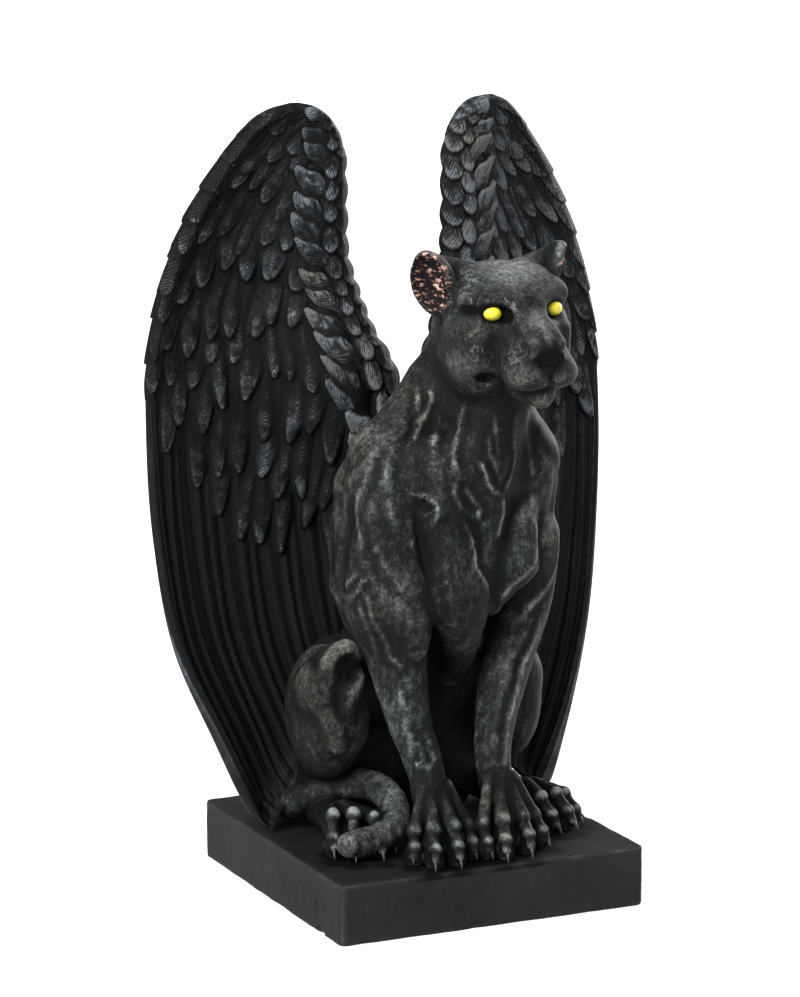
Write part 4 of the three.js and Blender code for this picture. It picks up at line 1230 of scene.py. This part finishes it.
def body_look():
    """Dark cast resin, rubbed over with pale grey paint that catches on whatever stands out, and darkened with painted
    shade beneath the head, between the legs and near the plinth.
    """
    look = Look("figure_resin_body", 0.62, 0.05)
    grain = look.noise(0.55, 4)
    specks = look.noise(1.6, 5, 0.7, twist=1.2)
    blotch = look.noise(11, 4, twist=0.8)
    strokes = look.noise(1.3, 4, 0.65, (1, 1, 0.28), (14, 8, 0), twist=1.0)
    tint = look.noise(28, 2)
    scratch = look.lines(look.noise(2.0, 2, 0.5, (1, 1, 0.6), (20, 10, 30), twist=0.5), 0.04)
    scratch = look.times(scratch, look.between(look.noise(8, 2), 0.46, 0.6))
    scratch = look.times(scratch, look.value("calm"))
    # The pale value also carries painted shade, which darkens the colour
    pale, black, pink = look.value("pale"), look.value("black"), look.value("pink")
    uneven = look.sum((blotch, 2.0, 0.5), (strokes, 2.0, 0.5), (look.value("fine"), 7.5, 0), (look.value("broad"), 1.45, 0))
    uneven = look.times(uneven, look.sum((look.value("calm"), -0.62, 1.613)))
    crest = look.times(look.value("crest"), look.between(strokes, 0.3, 0.48))
    brush = look.sum((uneven, 1.0, 0), (crest, 0.8, 0), (grain, 2.0, 0.5), (specks, 1.9, 0.5), (pale, 1.15, 0), (scratch, 1.05, 0))
    cool = look.ramp(brush, -1.0, 1.8, [(0, (0.0045, 0.005, 0.005)), (0.34, (0.0105, 0.0118, 0.0118)), (0.56, (0.031, 0.0345, 0.035)),
                                        (0.78, (0.088, 0.095, 0.098)), (1, (0.20, 0.21, 0.22))])
    warm = look.ramp(brush, -1.0, 1.8, [(0, (0.005, 0.005, 0.0046)), (0.34, (0.0118, 0.0118, 0.0108)), (0.56, (0.035, 0.035, 0.032)),
                                        (0.78, (0.095, 0.095, 0.088)), (1, (0.20, 0.20, 0.19))])
    colour = look.blend(look.between(tint, 0.42, 0.58), cool, warm)
    colour = look.blend(look.between(look.sum((black, 1.0, 0), (specks, 0.9, 0.5), (grain, 0.7, 0.5)), 0.25, 0.6), colour, BLACK)
    flecks = look.noise(0.8, 3, 0.6, (0.6, 0.6, 1.2), (0, 25, 0))
    fleshy = look.ramp(flecks, 0.525, 0.65, [(0, (0.008, 0.007, 0.007)), (0.4, (0.16, 0.07, 0.055)), (1, (0.62, 0.42, 0.37))])
    colour = look.blend(look.between(pink, 0.15, 0.5), colour, fleshy)
    height = look.sum((grain, 0.45, 0), (specks, 0.5, 0), (strokes, 0.35, 0))
    rough = look.between(look.sum((brush, 0.12, 0), (grain, 0.3, 0.5)), -1.2, 0.9)
    return look.finish(colour, height, 0.35, rough)


def wing_look():
    """Near-black feathers with a bluish grey rubbed on their barbs, palest along the leading edge."""
    look = Look("figure_resin_wing", 0.6, 0.07)
    grain = look.noise(0.5, 4)
    blotch = look.noise(7, 4)
    specks = look.noise(1.4, 4, 0.7)
    tint = look.noise(16, 2)
    # The shade value carries painted light: raised all over on the left wing and on the low scales beside the shoulder
    shade = look.value("shade")
    wave = look.node("ShaderNodeMath", {0: look.value("barb"), 1: math.pi * 2.0}, operation="MULTIPLY").outputs[0]
    comb = look.node("ShaderNodeMath", {0: wave}, operation="SINE").outputs[0]
    comb = look.node("ShaderNodeMath", {0: comb}, operation="ABSOLUTE").outputs[0]
    comb = look.times(look.times(comb, look.value("apart")), look.between(look.noise(2.6, 3, 0.6), 0.34, 0.58))
    fine = look.node("ShaderNodeMath", {0: look.value("fine"), 1: 0.35}, operation="MINIMUM").outputs[0]
    broad = look.node("ShaderNodeMath", {0: look.value("broad"), 1: 0.9}, operation="MINIMUM").outputs[0]
    brush = look.sum((fine, 1.5, 0), (broad, 0.35, 0), (comb, 1.45, 0.5), (grain, 0.7, 0.5), (specks, 1.1, 0.5),
                     (blotch, 1.3, 0.5), (shade, 1.5, 0.5))
    cool = look.ramp(brush, -1.0, 1.6, [(0, (0.003, 0.0033, 0.0035)), (0.34, (0.0058, 0.0064, 0.0067)),
                                        (0.56, (0.013, 0.015, 0.0165)), (0.78, (0.042, 0.047, 0.052)), (1, (0.12, 0.13, 0.145))])
    warm = look.ramp(brush, -1.0, 1.6, [(0, (0.0033, 0.0033, 0.003)), (0.34, (0.0064, 0.0064, 0.006)),
                                        (0.56, (0.0148, 0.0148, 0.0135)), (0.78, (0.047, 0.046, 0.043)), (1, (0.125, 0.123, 0.115))])
    colour = look.blend(look.between(tint, 0.44, 0.6), cool, warm)
    height = look.sum((grain, 0.4, 0), (specks, 0.3, 0), (comb, 0.5, 0))
    rough = look.between(look.sum((brush, 0.1, 0), (grain, 0.3, 0.5)), -1.2, 0.9)
    return look.finish(colour, height, 0.3, rough)


def claw_look():
    look = Look("figure_resin_claw", 0.45, 0.25)
    grain = look.noise(0.4, 3)
    strokes = look.noise(0.8, 3)
    brush = look.sum((grain, 1.0, 0.5), (strokes, 1.6, 0.5))
    colour = look.ramp(brush, -0.5, 0.7, [(0, (0.012, 0.012, 0.012)), (0.5, (0.035, 0.036, 0.035)), (1, (0.16, 0.165, 0.165))])
    return look.finish(colour, grain, 0.08)


def plinth_look():
    """Plain dark stone-like paint, a little paler where the edges are worn, and darker with painted shade on its top,
    most round the feet.
    """
    look = Look("plinth_resin_worn", 0.7, 0.05)
    grain = look.noise(0.4, 5, 0.7)
    cloud = look.noise(22, 4, 0.6)
    specks = look.noise(1.2, 4)
    # The painted shade on the top and round the feet darkens the paint
    brush = look.sum((look.value("worn"), 0.55, 0), (look.value("painted_top_shade"), -1.3, 0), (grain, 0.5, 0.5), (cloud, 1.7, 0.5),
                     (specks, 0.5, 0.5))
    colour = look.ramp(brush, -1.0, 1.0, [(0, (0.0036, 0.0036, 0.0036)), (0.38, (0.0158, 0.0158, 0.0148)), (0.55, (0.022, 0.022, 0.0206)),
                                          (0.72, (0.0295, 0.0295, 0.0276)), (1, (0.08, 0.08, 0.076))])
    height = look.sum((grain, 0.7, 0), (specks, 0.4, 0))
    rough = look.between(look.sum((grain, 0.4, 0.5), (cloud, 0.4, 0.5)), -1.6, 0.8)
    return look.finish(colour, height, 0.12, rough)


def eye_look():
    look = Look("eye_paint_yellow", 0.28, 0.5)
    cloud = look.noise(1.6, 3)
    grain = look.noise(0.5, 3)
    colour = look.ramp(cloud, 0.3, 0.7, [(0, (0.66, 0.52, 0.02)), (0.5, (0.82, 0.70, 0.03)), (1, (0.92, 0.84, 0.10))])
    return look.finish(colour, grain, 0.05)


def floor_look():
    look = Look("studio_floor", 0.8, 0.2)
    cloud = look.noise(180, 3)
    colour = look.ramp(cloud, 0.3, 0.7, [(0, (0.84, 0.84, 0.84)), (1, (0.88, 0.88, 0.88))])
    look.shader.inputs["Emission Color"].default_value = (1, 1, 1, 1)
    look.shader.inputs["Emission Strength"].default_value = 0.35
    return look.finish(colour, cloud, 0.05)


def body_object():
    skin, crest = sculpted_body()
    fine, broad = relief_of(skin)
    values = {"fine": fine, "broad": broad, "crest": crest, **paint_and_painted_shade(skin.points)}
    made = with_values(mesh_object("body", skin.points, skin.faces), values)
    return thinned(made, MOST_TRIANGLES)


def wing_objects():
    """The cat's left wing, made paler all over with painted light, and the right one as its mirror image."""
    points, faces, values = welded(*wing_arrays())
    left = thinned(with_values(mesh_object("wing_left", points, faces), values), MOST_TRIANGLES)
    mirrored = left.data.copy()
    mirrored.transform(Matrix.Scale(-1, 4, (1, 0, 0)))
    mirrored.flip_normals()
    right = bpy.data.objects.new("wing_right", mirrored)
    bpy.context.scene.collection.objects.link(right)
    # Painted light: the left wing's shade value is raised all over
    shades = np.empty(len(left.data.vertices), np.float32)
    layer = left.data.attributes["shade"].data
    layer.foreach_get("value", shades)
    layer.foreach_set("value", shades + LEFT_WING_PAINTED_LIGHT)
    return left, right


def finished(made, look, stands_for=None):
    """Gives a mesh its material, sets it on the root body and hides the part that it stands for."""
    made.data.materials.clear()
    made.data.materials.append(look)
    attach(made, "root")
    if stands_for:
        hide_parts(stands_for)


body = body_object()
wing_left, wing_right = wing_objects()
block_points, block_faces, block_values = worn_block()
block = with_values(mesh_object("block", block_points, block_faces), block_values)
claws = mesh_object("claws", *claw_points())
eyes = mesh_object("eyes", *eye_points())

feathers = wing_look()
finished(body, body_look(), "figure")
finished(wing_left, feathers, "figure")
finished(wing_right, feathers, "figure")
finished(claws, claw_look(), "figure")
finished(eyes, eye_look())
finished(block, plinth_look(), "plinth")

FLOOR_HALF = 15.0
FLOOR_CORNERS = [(-1, -1, 0), (1, -1, 0), (1, 1, 0), (-1, 1, 0)]
floor = mesh_object("floor", np.array(FLOOR_CORNERS) * FLOOR_HALF / MM, [(0, 1, 2), (0, 2, 3)])
floor.data.materials.append(floor_look())
floor.visible_diffuse = False


def direction(azimuth, elevation):
    """The way from the object to something at an azimuth and an elevation; 0 is the front."""
    a, e = math.radians(azimuth), math.radians(elevation)
    return Vector((math.sin(a) * math.cos(e), -math.cos(a) * math.cos(e), math.sin(e)))


def soft_light(name, azimuth, elevation, strength, spread):
    data = bpy.data.lights.new(name, "SUN")
    data.energy = strength
    data.angle = math.radians(spread)
    made = bpy.data.objects.new(name, data)
    made.rotation_euler = direction(azimuth, elevation).to_track_quat("Z", "Y").to_euler()
    bpy.context.scene.collection.objects.link(made)


soft_light("key", -70, 36, 5.0, 50)
soft_light("fill", 25, 34, 1.4, 120)
soft_light("rim", 118, 16, 3.0, 30)

AZIMUTH, ELEVATION, DISTANCE = -24.95, 11.3, 1.5
AIM = Vector((-0.0084, 0, 0.150))
FOCAL_PIXELS = 3990
IMAGE_HEIGHT = 997
camera_data = bpy.data.cameras.new("camera")
camera = bpy.data.objects.new("camera", camera_data)
bpy.context.scene.collection.objects.link(camera)
back = direction(AZIMUTH, ELEVATION)
camera.location = AIM + back * DISTANCE
camera.rotation_euler = back.to_track_quat("Z", "Y").to_euler()
camera_data.sensor_fit = "AUTO"
camera_data.lens = FOCAL_PIXELS * camera_data.sensor_width / IMAGE_HEIGHT
bpy.context.scene.camera = camera

world = bpy.data.worlds.new("studio")
world.use_nodes = True
background = world.node_tree.nodes["Background"]
background.inputs["Color"].default_value = (1, 1, 1, 1)
background.inputs["Strength"].default_value = 0.35
bpy.context.scene.world = world
bpy.context.scene.view_settings.view_transform = "Standard"
